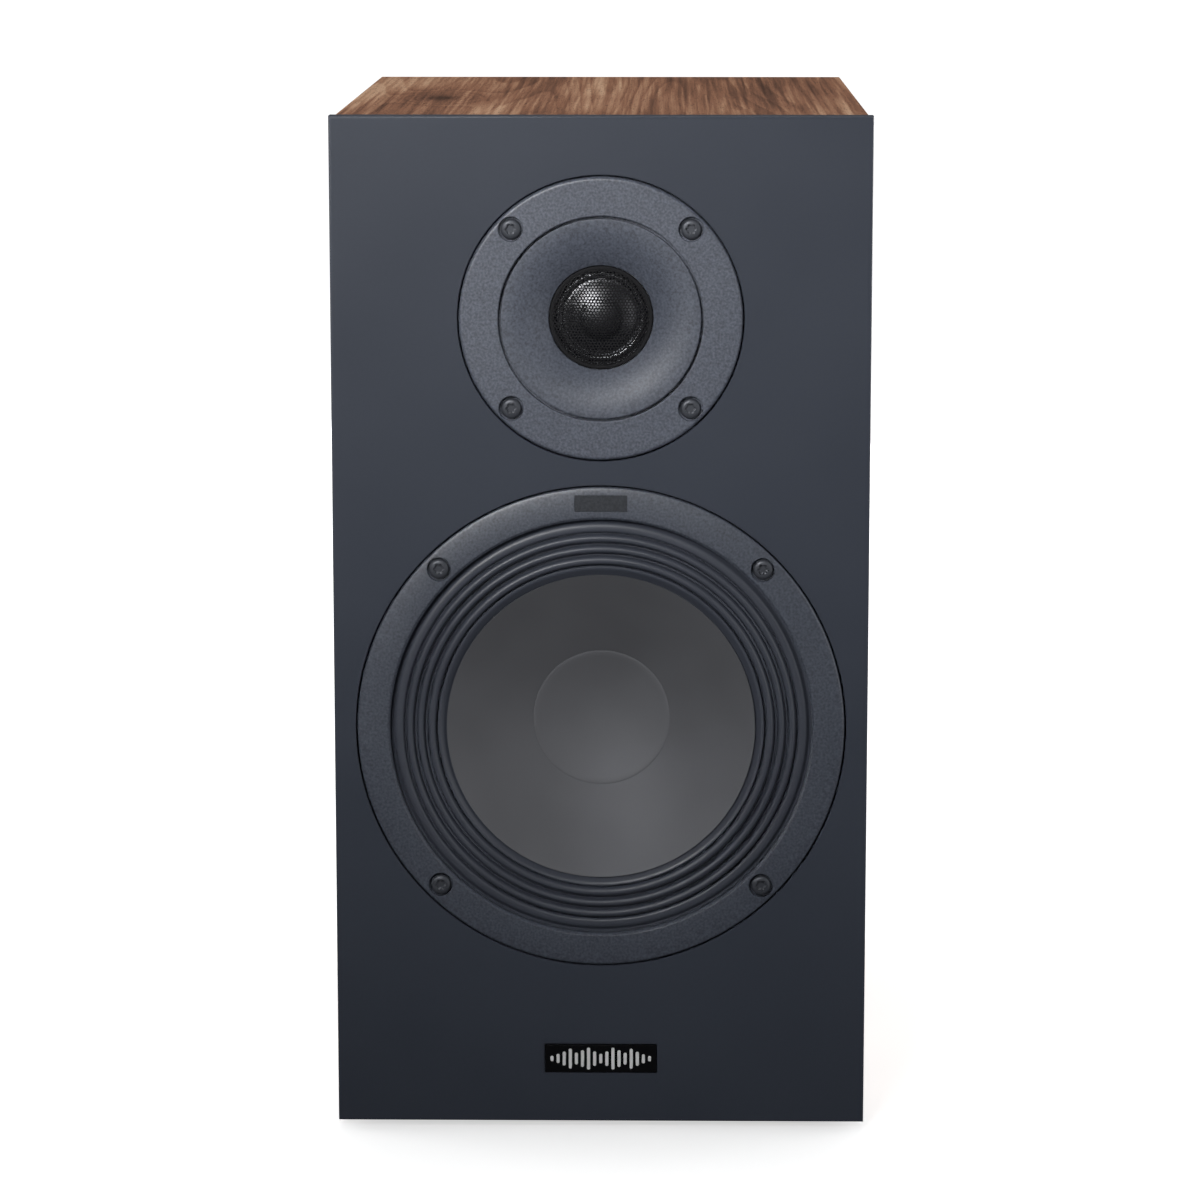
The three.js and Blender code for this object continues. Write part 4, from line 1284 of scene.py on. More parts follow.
    def build_feet(self) -> None:
        """Four turned rubber feet with a dished sole and a moulded rim."""
        outline = [
            (0, 0.9),
            (2.2, 0.9),
            (2.5, 0.6),
            (6.9, 0.4),
            (7.3, 0.05),
            (8.6, 0),
            (9.5, 0.25),
            (10, 0.9),
            (9.9, 1.6),
            (9.1, 3.2),
            (8.9, 3.5),
            (0, 3.5),
        ]
        names = ["foot_front_left", "foot_front_right", "foot_rear_left", "foot_rear_right"]
        centres = [sum(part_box(name), Vector()) / 2 for name in names]
        place = Vector((centres[0].x, centres[0].y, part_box(names[0])[0].z))
        axis = Axis(place, Vector((0, 0, 1)), Vector((1, 0, 0)))
        master = turned(f"{names[0]}_fine", outline, axis, 48, ring=False)
        smooth(master, 40)
        feet = [master] + [
            copied(master, f"{name}_fine", centre - centres[0]) for name, centre in zip(names[1:], centres[1:])
        ]
        for foot, name in zip(feet, names):
            self.dress(foot, FOOT, [name])

    def build_wadding(self) -> None:
        """A loose fibre pad: subdivided, rounded and left uneven."""
        low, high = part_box("damping_wadding")
        rim = Vector((3.2, 3.2, 3.2)) * MM
        pad = block("damping_wadding_soft", low + rim, high - rim, 9, 4)
        bpy.ops.object.mode_set(mode="EDIT")
        bpy.ops.mesh.select_all(action="SELECT")
        bpy.ops.mesh.subdivide(number_cuts=14)
        bpy.ops.transform.vertex_random(offset=1.6 * MM, seed=7)
        bpy.ops.mesh.select_all(action="SELECT")
        bpy.ops.mesh.vertices_smooth(factor=0.5, repeat=2)
        bpy.ops.object.mode_set(mode="OBJECT")
        bpy.ops.object.shade_smooth()
        self.dress(pad, WADDING, ["damping_wadding"])


@dataclass
class Badge(Assembly):
    """The gloss plate with a row of silver bars, like a sound wave."""

    bar_width: float = 1.15
    pitch: float = 2.2
    half_heights: tuple[float, ...] = (2.0, 3.4, 5.2, 7.4, 4.4, 6.2, 8.2, 5.4)
    middle_height: float = 3.6

    def build(self) -> None:
        """Builds the plate, then the bars on its face."""
        low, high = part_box("badge_plate")
        plate = block("badge_plate_fine", low, high, 0.3, 3)
        smooth(plate)
        self.dress(plate, BADGE, ["badge_plate"])
        middle = (low + high) / 2
        face = low.y
        bars = []
        heights = (*self.half_heights, self.middle_height, *reversed(self.half_heights))
        for i, height in enumerate(heights):
            x = middle.x + (i - (len(heights) - 1) / 2) * self.pitch * MM
            half = Vector((self.bar_width / 2, 0, height / 2)) * MM
            centre = Vector((x, face, middle.z))
            proud, clear = Vector((0, 0.08, 0)) * MM, Vector((0, 0.005, 0)) * MM
            bar = block("bar", centre - half - proud, centre + half - clear)
            bpy.ops.object.mode_set(mode="EDIT")
            select_edges(bar, lambda a, b: abs(a.y - b.y) > 0.01 * MM)
            bpy.ops.mesh.bevel(offset=0.5 * MM, segments=4, affect="EDGES")
            bpy.ops.object.mode_set(mode="OBJECT")
            bars.append(bar)
        select_only(bars[0])
        for bar in bars:
            bar.select_set(True)
        bpy.ops.object.join()
        wave = bpy.context.view_layer.objects.active
        wave.name = wave.data.name = "badge_wave_bars"
        self.dress(wave, PRINT)


@dataclass
class Woofer(Assembly):
    """The woofer: trim ring, rubber surround, metal cone and what drives them."""

    ring_outer: float = 86.8
    ring_inner: float = 75.2
    ring_proud: float = 0.8
    ring_back: float = 3.2
    screw_reach: float = 57.417
    screw_seat: float = 1.6
    plate_reach: float = 81.0
    plate_half: tuple[float, float] = (9.45, 3.1)
    cone_rim: float = 55.0
    cone_neck: float = 19.75
    cap_edge: float = 25.3
    cap_radius: float = 24.6
    cap_dish: float = 3.9
    rolls: Outline = ((68.2, 1.65), (64.35, 1.6), (60.35, 1.75))  # each roll's crest and half width
    surround_held: float = 72.4
    surround_carried: float = 56.0
    spider_waves: int = 6
    spider_swing: float = 0.85
    moving: str = "woofer_diaphragm"

    def __post_init__(self) -> None:
        """Finds the driver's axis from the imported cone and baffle."""
        middle = sum(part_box("woofer_cone"), Vector()) / 2
        self.axis = Axis(Vector((middle.x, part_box("front_baffle")[0].y, middle.z)))

    def build(self) -> None:
        """Builds the woofer from the ring in, then dresses what lies behind."""
        self.build_ring()
        self.build_surround()
        self.build_cone()
        self.build_coil()
        self.build_spider()
        self.dress_node(POWDER_COAT, "woofer_basket")
        self.dress_node(ZINC, "woofer_top_plate", "woofer_back_plate_and_pole")
        self.dress_node(FERRITE, "woofer_magnet")
        seat = self.screw_seat - 0.3
        screw_axis = Axis(self.axis.point(0, seat))
        four_screws(self, "woofer_screw", Screw(), screw_axis, (self.screw_reach, self.screw_reach))

    def build_ring(self) -> None:
        """The ring: a gently crowned face, a rolled outer edge and a crisp inner bevel."""
        front = -self.ring_proud
        outline = [
            (self.ring_inner, self.ring_back),
            (self.ring_inner, 0.05),
            (self.ring_inner + 0.75, front + 0.06),
            (self.ring_inner + 0.95, front),
            *((77.2 + 0.8 * i, front + 0.0075 * (1.05 + 0.8 * i) ** 2) for i in range(12)),
            *arc((self.ring_outer - 0.7, front + 1.52), 0.7, -78, 0, 6),
            (self.ring_outer, self.ring_back),
        ]
        ring = turned("woofer_trim_ring_fine", outline, self.axis, 192)
        holes = screw_holes(self.axis, self.screw_reach, self.screw_seat, (4.6, -0.85, -0.4))
        middle = self.axis.point(0, 0) + Vector((0, 0, self.plate_reach)) * MM
        half = Vector((self.plate_half[0], 0, self.plate_half[1])) * MM
        room, floor = Vector((0, 3, 0)) * MM, Vector((0, 0.35, 0)) * MM
        holes.append(block("cutter", middle - half - room, middle + half - floor))
        join_cut(ring, holes)
        smooth(ring, 30)
        # The ring's finish carries painted shade: a darker copy of the plate's plastic.
        self.dress(ring, RING_PAINTED_SHADE, ["woofer_trim_ring"])
        inset = Vector((0.2, 0, 0.2)) * MM
        plate = block(
            "woofer_ring_plate",
            middle - half + inset + Vector((0, -0.6, 0)) * MM,
            middle + half - inset + Vector((0, -0.36, 0)) * MM,
            0.1,
            1,
        )
        smooth(plate)
        self.dress(plate, TRIM_PLATE)

    def surround_front(self) -> list[tuple[float, float]]:
        """The surround's front from the clamped rim in: a band, three rolls and a slope.

        Returns:
            Points of radius and depth.
        """
        groove, height = 3.1, 2.6
        points = [(77.2, 3.5), (74.8, 3.5), (74.2, groove), (73.7, 2.3), (73.2, 1.8)]
        points += [(72.4, 1.55), (71.2, 1.55), (70.6, 1.75), (70.3, 2.4), (70.1, groove)]
        for crest, half in self.rolls:
            for i in range(13):
                share = i / 6 - 1
                lift = (1 - abs(share) ** 2.4) ** 0.5
                points.append((crest - share * half, groove - height * lift))
        points += [(58.4, 2.4), (58.1, 1.7), (57.5, 1.6), (56.7, 2.1), (55.8, 3.0), (54.4, 3.95), (52.0, 5.1)]
        return points

    def build_surround(self) -> None:
        """A thin rolled ring that bends between the frame and the cone."""
        front = self.surround_front()
        back = [(radius, depth + 0.8) for radius, depth in reversed(front)]
        piece = turned("woofer_surround_rolls", front + back, self.axis, 160)
        smooth(piece, 50)
        self.bend(piece, SURROUND, "woofer_surround", self.surround_held, self.surround_carried)

    def bend(self, piece: Piece, finish: Finish, node: str, held: float, carried: float) -> None:
        """Dresses a ring that is held at one radius and carried by the coil at another.

        Args:
            piece: The ring.
            finish: Its finish.
            node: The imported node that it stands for.
            held: The radius in millimetres that stays with the frame.
            carried: The radius that moves with the cone.
        """
        piece.data.materials.clear()
        piece.data.materials.append(finish.material())
        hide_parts(node)
        axis = self.axis.origin
        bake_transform(piece, self.body, self.moving, start=axis, end=self.axis.point(0, 10))
        shares = piece.data.attributes["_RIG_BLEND"].data
        for vertex, share in zip(piece.data.vertices, shares):
            radius = math.hypot(vertex.co.x - axis.x, vertex.co.z - axis.z) / MM
            part = min(1.0, max(0.0, (held - radius) / (held - carried)))
            share.value = part * part * (3 - 2 * part)
        log.info("%s: %s, bends from the frame to the coil", piece.name, finish.name)

    def cone_depth(self, radius: float) -> float:
        """Depth of the cone's front face at a radius."""
        share = (self.cone_rim - radius) / (self.cone_rim - self.cap_edge)
        return 2 + 17 * share + 0.8 * share * max(0.0, 1 - share)

    def build_cone(self) -> None:
        """The bowed cone with a short upright rim, and the dished cap glued into it."""
        steps = 18
        span = self.cone_rim - self.cone_neck
        radii = [self.cone_rim - span * i / steps for i in range(1, steps + 1)]
        front = [(radius, self.cone_depth(radius)) for radius in radii]
        rim = [(self.cone_rim, 2.85), (self.cone_rim, 2.05)]
        back = [(radius, depth + 0.9) for radius, depth in reversed(front)]
        cone = turned("woofer_cone_fine", rim + front + back, self.axis, 192)
        smooth(cone, 40)
        self.dress(cone, CONE, ["woofer_cone"], self.moving)
        level = self.cone_depth(self.cap_radius) - 0.14
        dish = self.cap_radius - 0.8
        face = [(dish * i / 14, level + self.cap_dish * (1 - (i / 14) ** 2)) for i in range(15)]
        lip = [(self.cap_radius, level + 0.02), (self.cap_radius, level + 0.4)]
        under = [(radius, depth + 0.7) for radius, depth in reversed(face[:-1])]
        cap = turned("woofer_dust_cap_fine", face + lip + under, self.axis, 128, ring=False)
        smooth(cap, 50)
        self.dress(cap, CONE, ["woofer_dust_cap"], self.moving)

    def build_coil(self) -> None:
        """The voice coil: a thin former with rounded turns of wire."""
        turns = [(19.4, 45.9)]
        for i in range(14):
            depth = 46 + i
            turns += [(19.75, depth + 0.05), (20.1, depth + 0.3), (20.1, depth + 0.7), (19.75, depth + 0.95)]
        outline = [(19, 23), (19.4, 23), *turns, (19.4, 60.1), (19.4, 62), (19, 62)]
        coil = turned("woofer_voice_coil_fine", outline, self.axis, 96)
        smooth(coil, 40)
        self.dress(coil, COPPER, ["woofer_voice_coil"], self.moving)

    def build_spider(self) -> None:
        """The woven spider: round concentric waves from the coil to its landing."""
        low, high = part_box("woofer_spider")
        outer = (high.x - low.x) / 2 / MM
        rest = (high.y - self.axis.origin.y) / MM - 0.6
        inner = self.cone_neck
        steps = self.spider_waves * 8
        front = []
        for i in range(steps + 1):
            share = i / steps
            swing = 1 - math.cos(share * self.spider_waves * math.tau)
            lift = self.spider_swing * swing if 0.02 < share < 0.98 else 0.0
            front.append((inner + (outer - inner) * share, rest - lift))
        back = [(radius, depth + 0.55) for radius, depth in reversed(front)]
        piece = turned("woofer_spider_waves", front + back, self.axis, 96)
        smooth(piece, 60)
        self.bend(piece, SPIDER, "woofer_spider", outer - 3, inner + 1.5)


@dataclass
class Tweeter(Assembly):
    """The tweeter: face plate, waveguide, mesh, dome and motor."""

    plate_outer: float = 49.9
    seam_outer: float = 36.1
    horn_rim: float = 35.2
    throat: float = 18.5
    throat_depth: float = 5.2
    screw_reach: float = 31.537
    screw_seat: float = 1.6
    hole_pitch: float = 1.15
    hole_radius: float = 0.4
    mesh_radius: float = 17.3
    moving: str = "tweeter_diaphragm"

    def __post_init__(self) -> None:
        """Finds the driver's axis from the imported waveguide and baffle."""
        middle = sum(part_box("tweeter_waveguide"), Vector()) / 2
        self.axis = Axis(Vector((middle.x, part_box("front_baffle")[0].y, middle.z)))

    def build(self) -> None:
        """Builds the tweeter from the plate in, then dresses its motor."""
        self.build_plate()
        self.build_waveguide()
        self.build_mesh()
        self.build_dome()
        self.dress_node(ZINC, "tweeter_top_plate", "tweeter_yoke")
        self.dress_node(FERRITE, "tweeter_magnet")
        self.dress_node(COPPER, "tweeter_voice_coil")
        screw_axis = Axis(self.axis.point(0, self.screw_seat - 0.3))
        four_screws(self, "tweeter_screw", Screw(), screw_axis, (self.screw_reach, self.screw_reach))

    def build_plate(self) -> None:
        """The flat plate with a rolled edge, a seam round the waveguide and screw holes."""
        outline = [
            (self.seam_outer, 2.4),
            (self.seam_outer, -0.25),
            (self.seam_outer + 0.2, -0.45),
            (self.seam_outer + 0.5, -0.5),
            (self.plate_outer - 1.6, -0.5),
            *arc((self.plate_outer - 1.3, 0.8), 1.3, -80, 0, 7),
            (self.plate_outer, 4.2),
            (31.0, 4.2),
            (31.0, 2.4),
        ]
        plate = turned("tweeter_face_plate_fine", outline, self.axis, 160)
        join_cut(plate, screw_holes(self.axis, self.screw_reach, self.screw_seat, (4.55, -0.55, -0.1)))
        smooth(plate, 30)
        self.dress(plate, TRIM, ["tweeter_face_plate"])

    def build_waveguide(self) -> None:
        """The flare, steep at the throat and flat at its rim."""
        rim = -0.3
        steps = 26
        flare = []
        for i in range(steps + 1):
            share = i / steps
            radius = self.horn_rim - 0.4 + (self.throat - self.horn_rim + 0.4) * share
            flare.append((radius, rim + (self.throat_depth - rim) * share ** 2.2))
        outline = [
            (self.horn_rim, -0.05),
            (self.horn_rim - 0.15, -0.25),
            *flare,
            (self.throat - 0.05, 6.2),
            (self.throat, 9.0),
            (self.throat + 1, 9.0),
            (self.throat + 1, 11.2),
            (30.7, 11.2),
            (30.7, 2.1),
            (self.horn_rim, 2.1),
        ]
        guide = turned("tweeter_waveguide_fine", outline, self.axis, 160)
        smooth(guide, 30)
        # The flare's finish carries painted shade: a darker copy of the plate's plastic.
        self.dress(guide, FLARE_PAINTED_SHADE, ["tweeter_waveguide"])

    def build_mesh(self) -> None:
        """Perforated sheet pressed to a low dome with a boss, held in a rolled rim."""
        sheet = self.perforated_sheet()
        form = [
            (19.5, 5.75),
            (18.2, 5.3),
            (16.5, 4.45),
            (14.2, 3.75),
            (11.5, 3.4),
            (9.2, 3.3),
            (8.1, 3.3),
            (7.5, 3.15),
            (7.0, 2.55),
            (6.15, 1.85),
            (5.0, 1.3),
            (3.4, 0.88),
            (1.7, 0.62),
            (0, 0.52),
        ]
        guide = turned("form", form, self.axis, 96, ring=False)
        apply_modifier(
            sheet,
            "SHRINKWRAP",
            target=guide,
            wrap_method="PROJECT",
            use_project_x=False,
            use_project_y=False,
            use_project_z=True,
            use_positive_direction=True,
            use_negative_direction=True,
        )
        bpy.data.objects.remove(guide)
        bpy.ops.object.transform_apply(location=True, rotation=True, scale=True)
        bpy.ops.object.mode_set(mode="EDIT")
        bpy.ops.mesh.select_all(action="SELECT")
        bpy.ops.mesh.normals_make_consistent(inside=False)
        bpy.ops.object.mode_set(mode="OBJECT")
        apply_modifier(sheet, "SOLIDIFY", thickness=0.3 * MM, offset=0.0)
        bpy.ops.object.mode_set(mode="EDIT")
        tidy_shell()
        bpy.ops.object.mode_set(mode="OBJECT")
        bpy.ops.object.shade_smooth_by_angle(angle=math.radians(40))
        self.dress(sheet, MESH, ["tweeter_mesh_grille"])
        rim = [
            (18.25, 5.6),
            (18.25, 4.9),
            (18.0, 4.65),
            (17.5, 4.55),
            (17.0, 4.6),
            (16.75, 4.8),
            (16.9, 5.3),
            (17.6, 5.6),
        ]
        ring = turned("tweeter_mesh_rim", rim, self.axis, 96)
        smooth(ring, 50)
        self.dress(ring, MESH)

    def perforated_sheet(self) -> Piece:
        """A flat disc of six-sided cells, each with a round hole.

        Returns:
            The disc, lying flat with its face along its own Z, turned to face the driver's axis.
        """
        ratio = self.hole_pitch / math.sqrt(3) / self.hole_radius
        place = self.axis.point(0, 0)
        bpy.ops.object.select_all(action="DESELECT")
        bpy.ops.mesh.primitive_circle_add(vertices=12, radius=self.hole_radius * MM, location=(0, 0, 0))
        cell = bpy.context.object
        cell.name = cell.data.name = "tweeter_mesh_sheet"
        bpy.ops.object.mode_set(mode="EDIT")
        bpy.ops.mesh.select_all(action="SELECT")
        bpy.ops.mesh.extrude_edges_move(TRANSFORM_OT_translate={"value": (0, 0, 0)})
        bpy.ops.transform.resize(value=(ratio,) * 3, center_override=(0, 0, 0))
        outer = self.hole_radius * MM * (1 + ratio) / 2

        def on_flat(spot: Vector) -> bool:
            """Whether a place of the outer ring lies midway along a side of the cell."""
            turn = round(math.degrees(math.atan2(spot.y, spot.x)))
            return spot.length > outer and turn % 60 == 0

        select_vertices(cell, on_flat)
        bpy.ops.transform.resize(value=(math.cos(math.pi / 6),) * 3, center_override=(0, 0, 0))
        bpy.ops.object.mode_set(mode="OBJECT")
        pitch = self.hole_pitch * MM
        across = math.ceil(self.mesh_radius / self.hole_pitch) + 1
        row = pitch * math.sqrt(3)
        rows = math.ceil(self.mesh_radius * MM / row) + 1
        apply_modifier(
            cell,
            "ARRAY",
            count=2,
            use_relative_offset=False,
            use_constant_offset=True,
            constant_offset_displace=(pitch / 2, row / 2, 0),
            use_merge_vertices=False,
        )
        for count, step in ((2 * across, (pitch, 0, 0)), (2 * rows, (0, row, 0))):
            apply_modifier(
                cell,
                "ARRAY",
                count=count,
                use_relative_offset=False,
                use_constant_offset=True,
                constant_offset_displace=step,
                use_merge_vertices=False,
            )
        bpy.ops.object.mode_set(mode="EDIT")
        bpy.ops.mesh.select_all(action="SELECT")
        bpy.ops.transform.translate(value=(-pitch * across, -row * rows, 0))
        bpy.ops.mesh.remove_doubles(threshold=0.02 * MM)
        select_vertices(cell, lambda spot: spot.length > self.mesh_radius * MM)
        bpy.ops.mesh.delete(type="VERT")
        bpy.ops.mesh.select_all(action="SELECT")
        bpy.ops.mesh.normals_make_consistent(inside=False)
        bpy.ops.object.mode_set(mode="OBJECT")
        cell.rotation_euler = (math.pi / 2, 0, 0)
        cell.location = place
        return cell

    def build_dome(self) -> None:
        """The dome with its half-roll suspension, seen through the mesh."""
        rim = 9.9
        front = []
        for i in range(13):
            radius = 12.9 * i / 12
            front.append((radius, rim - 3.1 * (1 - (radius / 12.9) ** 2)))
        front += [*arc((14.9, rim), 1.5, -180, 0, 10), (18.0, rim)]
        back = [(radius, depth + 0.25) for radius, depth in reversed(front)]
        dome = turned("tweeter_dome_fine", front + back, self.axis, 96, ring=False)
        smooth(dome, 50)
        self.dress(dome, DOME, ["tweeter_dome"], self.moving)


@dataclass
class Port(Assembly):
    """The reflex port: one moulding with a rolled mouth and a wide flange."""

    bore: float = 25.0
    wall: float = 2.5
    flare: float = 9.0
    flange: float = 42.0
    proud: float = 2.2
    length: float = 120.0

    def build(self) -> None:
        """Turns the port about its own axis."""
        low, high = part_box("port_tube")
        middle = (low + high) / 2
        axis = Axis(Vector((middle.x, high.y - self.proud * MM, middle.z)))
        outer, inner = [], []
        for i in range(15):
            turn = i / 14 * math.pi / 2
            radius = self.bore + self.flare * (1 - math.cos(turn))
            sink = self.flare * (1 - math.sin(turn))
            outer.append((radius, self.proud - sink))
            inner.append((radius, 0.6 * sink - self.length))
        collar = self.bore + self.flare + self.wall
        outline = [
            *outer,
            (self.flange - 0.9, self.proud),
            (self.flange - 0.35, self.proud - 0.12),
            (self.flange, self.proud - 0.6),
            (self.flange, 0.3),
            (collar, 0.3),
            (collar, -self.flare),
            (self.bore + self.wall, -self.flare - 6),
            (self.bore + self.wall, -self.length + self.flare),
            (self.bore + self.flare + self.wall * 0.4, -self.length + 1.2),
            *reversed(inner),
        ]
        tube = turned("port_tube_fine", outline, axis, 128)
        smooth(tube, 34)
        self.dress(tube, BLACK_PLASTIC, ["port_tube"])


@dataclass
class Terminals(Assembly):
    """The terminal cup, its screws and the two binding posts."""

    flange: tuple[float, float] = (108.0, 86.0)
    recess: tuple[float, float] = (82.0, 60.0)
    proud: float = 2.2
    recess_depth: float = 26.0
    wall: float = 3.0
    post_reach: float = 19.0
    boss: tuple[float, float] = (8.0, 3.0)  # radius and height
    stem_hole: float = 3.3
    sign_reach: float = 16.0

    def __post_init__(self) -> None:
        """Finds the cup's middle and the rear face that it screws to."""
        low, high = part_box("terminal_cup")
        self.centre = (low + high) / 2
        self.rear = high.y - self.proud * MM
        self.floor = high.y - self.recess_depth * MM

    def slab(
        self, name: str, size: tuple[float, float], start: float, end: float, corner: float, edge: float = 0.0
    ) -> Piece:
        """A rounded slab about the cup's middle.

        Args:
            name: The piece's name.
            size: Its width and height in millimetres.
            start: Its inner face's place along Y in metres.
            end: Its outer face's place.
            corner: Radius of its corners in millimetres.
            edge: Width of its rims' bevel in millimetres.

        Returns:
            The slab.
        """
        half = Vector((size[0] / 2, 0, size[1] / 2)) * MM
        middle = Vector((self.centre.x, 0, self.centre.z))
        low = middle - half + Vector((0, start, 0))
        high = middle + half + Vector((0, end, 0))
        return rounded_block(name, low, high, corner, edge)

    def build(self) -> None:
        """Builds the cup, then what is screwed to it."""
        self.build_cup()
        screw = Screw(
            head_radius=3.1,
            head_height=1.5,
            shank_radius=1.5,
            length=12.0,
            socket_radius=1.5,
            socket_depth=0.9,
        )
        seat = Vector((self.centre.x, self.rear + (self.proud + 0.3) * MM, self.centre.z))
        axis = Axis(seat, Vector((0, -1, 0)))
        four_screws(self, "cup_screw", screw, axis, (self.flange[0] / 2 - 5.5, self.flange[1] / 2 - 5.5))
        self.build_posts()

    def build_cup(self) -> None:
        """The flange, the box behind it, the recess and the posts' bosses."""
        wide, tall = self.recess
        face = self.rear + self.proud * MM
        cup = self.slab("terminal_cup_fine", self.flange, self.rear + 0.3 * MM, face, 8, 0.5)
        box = self.slab("box", (wide + 6, tall + 6), self.floor - self.wall * MM, self.rear + MM, 6)
        join_cut(cup, [box], "UNION")
        recess = self.slab("cutter", (wide, tall), self.floor, face + 3 * MM, 4)
        join_cut(cup, [recess])
        bosses, holes = [], []
        for side in (-1, 1):
            middle = Vector((self.centre.x + side * self.post_reach * MM, self.floor, self.centre.z))
            radius, height = self.boss
            outline = [
                (0, -1),
                (radius + 1.2, -1),
                (radius + 1.0, 0.2),
                (radius + 0.3, 0.9),
                (radius, height - 0.4),
                (radius - 0.4, height),
                (0, height),
            ]
            bosses.append(turned("boss", outline, Axis(middle), 48, ring=False))
            bore = [(0, -8), (self.stem_hole, -8), (self.stem_hole, 8), (0, 8)]
            holes.append(turned("cutter", bore, Axis(middle), 32, ring=False))
        join_cut(cup, bosses, "UNION")
        join_cut(cup, holes)
        smooth(cup, 30)
        self.dress(cup, BLACK_PLASTIC, ["terminal_cup"])
        self.build_signs()

    def build_signs(self) -> None:
        """A raised minus and plus on the recess floor, above the posts."""
        for name, side in (("minus", -1), ("plus", 1)):
            across, up = side * self.post_reach * MM, self.sign_reach * MM
            middle = Vector((self.centre.x + across, self.floor, self.centre.z + up))
            sign = self.bar(f"{name}_sign", middle, (3.0, 0.6))
            if name == "plus":
                join_cut(sign, [self.bar("upright", middle, (0.6, 3.0))], "UNION")
            smooth(sign)
            self.dress(sign, PRINT)

    def bar(self, name: str, middle: Vector, half: tuple[float, float]) -> Piece:
        """A small raised bar.

        Args:
            name: The piece's name.
            middle: The middle of its foot.
            half: Half its width and half its height in millimetres.

        Returns:
            The bar.
        """
        reach = Vector((half[0], 0, half[1])) * MM
        clear, proud = Vector((0, 0.02, 0)) * MM, Vector((0, 0.5, 0)) * MM
        return block(name, middle - reach + clear, middle + reach + proud, 0.15, 2)

    def build_posts(self) -> None:
        """Threaded stems, clamp washers and ribbed screw caps with a plug socket."""
        washer_low, washer_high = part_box("negative_clamp_washer")
        cap_low, cap_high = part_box("negative_screw_cap")
        stem_low, stem_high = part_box("negative_post_stem")
        for pole, side, finish in (("negative", -1, CAP_BLACK), ("positive", 1, CAP_RED)):
            x = self.centre.x + side * self.post_reach * MM
            axis = Axis(Vector((x, stem_low.y, self.centre.z)))
            stem = self.build_stem(pole, axis, (stem_high.y - stem_low.y) / MM)
            self.dress(stem, GILT, [f"{pole}_post_stem"])
            axis = Axis(Vector((x, washer_low.y, self.centre.z)))
            thick = (washer_high.y - washer_low.y) / MM
            outline = [
                (3.3, 0.1),
                (3.4, 0),
                (6.5, 0),
                (6.8, 0.3),
                (6.8, thick - 0.3),
                (6.5, thick),
                (3.4, thick),
                (3.3, thick - 0.1),
            ]
            washer = turned(f"{pole}_clamp_washer_fine", outline, axis, 64)
            smooth(washer, 40)
            self.dress(washer, GILT, [f"{pole}_clamp_washer"], f"{pole}_washer")
            axis = Axis(Vector((x, cap_low.y, self.centre.z)))
            self.build_cap(pole, axis, (cap_high.y - cap_low.y) / MM, finish)

    def build_stem(self, pole: str, axis: Axis, length: float) -> Piece:
        """A brass stem whose free end carries a rolled thread.

        Args:
            pole: The post's name.
            axis: The stem's axis, from its inner end.
            length: Its length.

        Returns:
            The stem.
        """
        outline = [(0, 0), (2.6, 0), (2.9, 0.3)]
        depth = 0.8
        while depth < length - 1.4:
            outline += [(2.95, depth), (2.7, depth + 0.5)]
            depth += 1.0
        outline += [(2.95, length - 0.5), (2.6, length), (0, length)]
        stem = turned(f"{pole}_post_stem_fine", outline, axis, 40, ring=False)
        smooth(stem, 50)
        return stem

    def build_cap(self, pole: str, axis: Axis, length: float, finish: Finish) -> None:
        """A cap ribbed for grip round a brass insert.

        Args:
            pole: The post's name.
            axis: The cap's axis, from its inner face.
            length: Its length.
            finish: The moulding's finish.
        """
        ribs = [7.5, 7.5, 7.28, 7.02, 7.28, 7.5]
        start = [(0.88, 0), (0.96, 0.3), (1.0, 0.9)]
        stops = [*start, (1.0, length - 1.2), (0.96, length - 0.4), (0.90, length)]
        cap = fluted(f"{pole}_screw_cap_fine", ribs, 20, stops, axis)
        bore = [(0, -1), (4.3, -1), (4.3, length + 1), (0, length + 1)]
        join_cut(cap, [turned("cutter", bore, axis, 48, ring=False)])
        smooth(cap, 30)
        self.dress(cap, finish, [f"{pole}_screw_cap"], f"{pole}_cap")
        stem_end = length - 3 + 0.3
        insert = [
            (3.3, 0.05),
            (4.25, 0.05),
            (4.25, length - 0.7),
            (4.0, length - 0.5),
            (2.5, length - 0.5),
            (2.1, length - 0.9),
            (2.1, stem_end),
            (3.3, stem_end),
        ]
        core = turned(f"{pole}_cap_insert", insert, axis, 48)
        smooth(core, 30)
        self.dress(core, GILT, (), f"{pole}_cap")


class Crossover(Assembly):
    """The board behind the cup, its components and the two leads: all inside the box."""

    def build(self) -> None:
        """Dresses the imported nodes."""
        self.dress_node(BOARD, "crossover_board")
        self.dress_node(COPPER, "woofer_choke", "tweeter_choke")
        self.dress_node(FILM_BLACK, "woofer_capacitor", "woofer_lead", "tweeter_lead")
        self.dress_node(FILM_RED, "tweeter_capacitor")
        self.dress_node(CEMENT, "series_resistor")


# ---------------------------------------------------------------- studio


@dataclass(frozen=True)
class Softbox:
    """A soft rectangular light: place and size in metres, power in watts, beam in degrees."""

    name: str
    place: tuple[float, float, float]
    target: tuple[float, float, float]
    size: tuple[float, float]
    power: float
    beam: float = 180.0
    colour: str = "#ffffff"

    def build(self) -> None:
        """Hangs the light and turns it to its target."""
        bpy.ops.object.light_add(type="AREA", location=self.place)
        light = bpy.context.object
        light.name = self.name
        light.data.shape = "RECTANGLE"
        light.data.size, light.data.size_y = self.size
        light.data.energy = self.power
        light.data.spread = math.radians(self.beam)
        light.data.color = linear(self.colour)[:3]
        way = Vector(self.target) - Vector(self.place)
        light.rotation_euler = way.to_track_quat("-Z", "Y").to_euler()


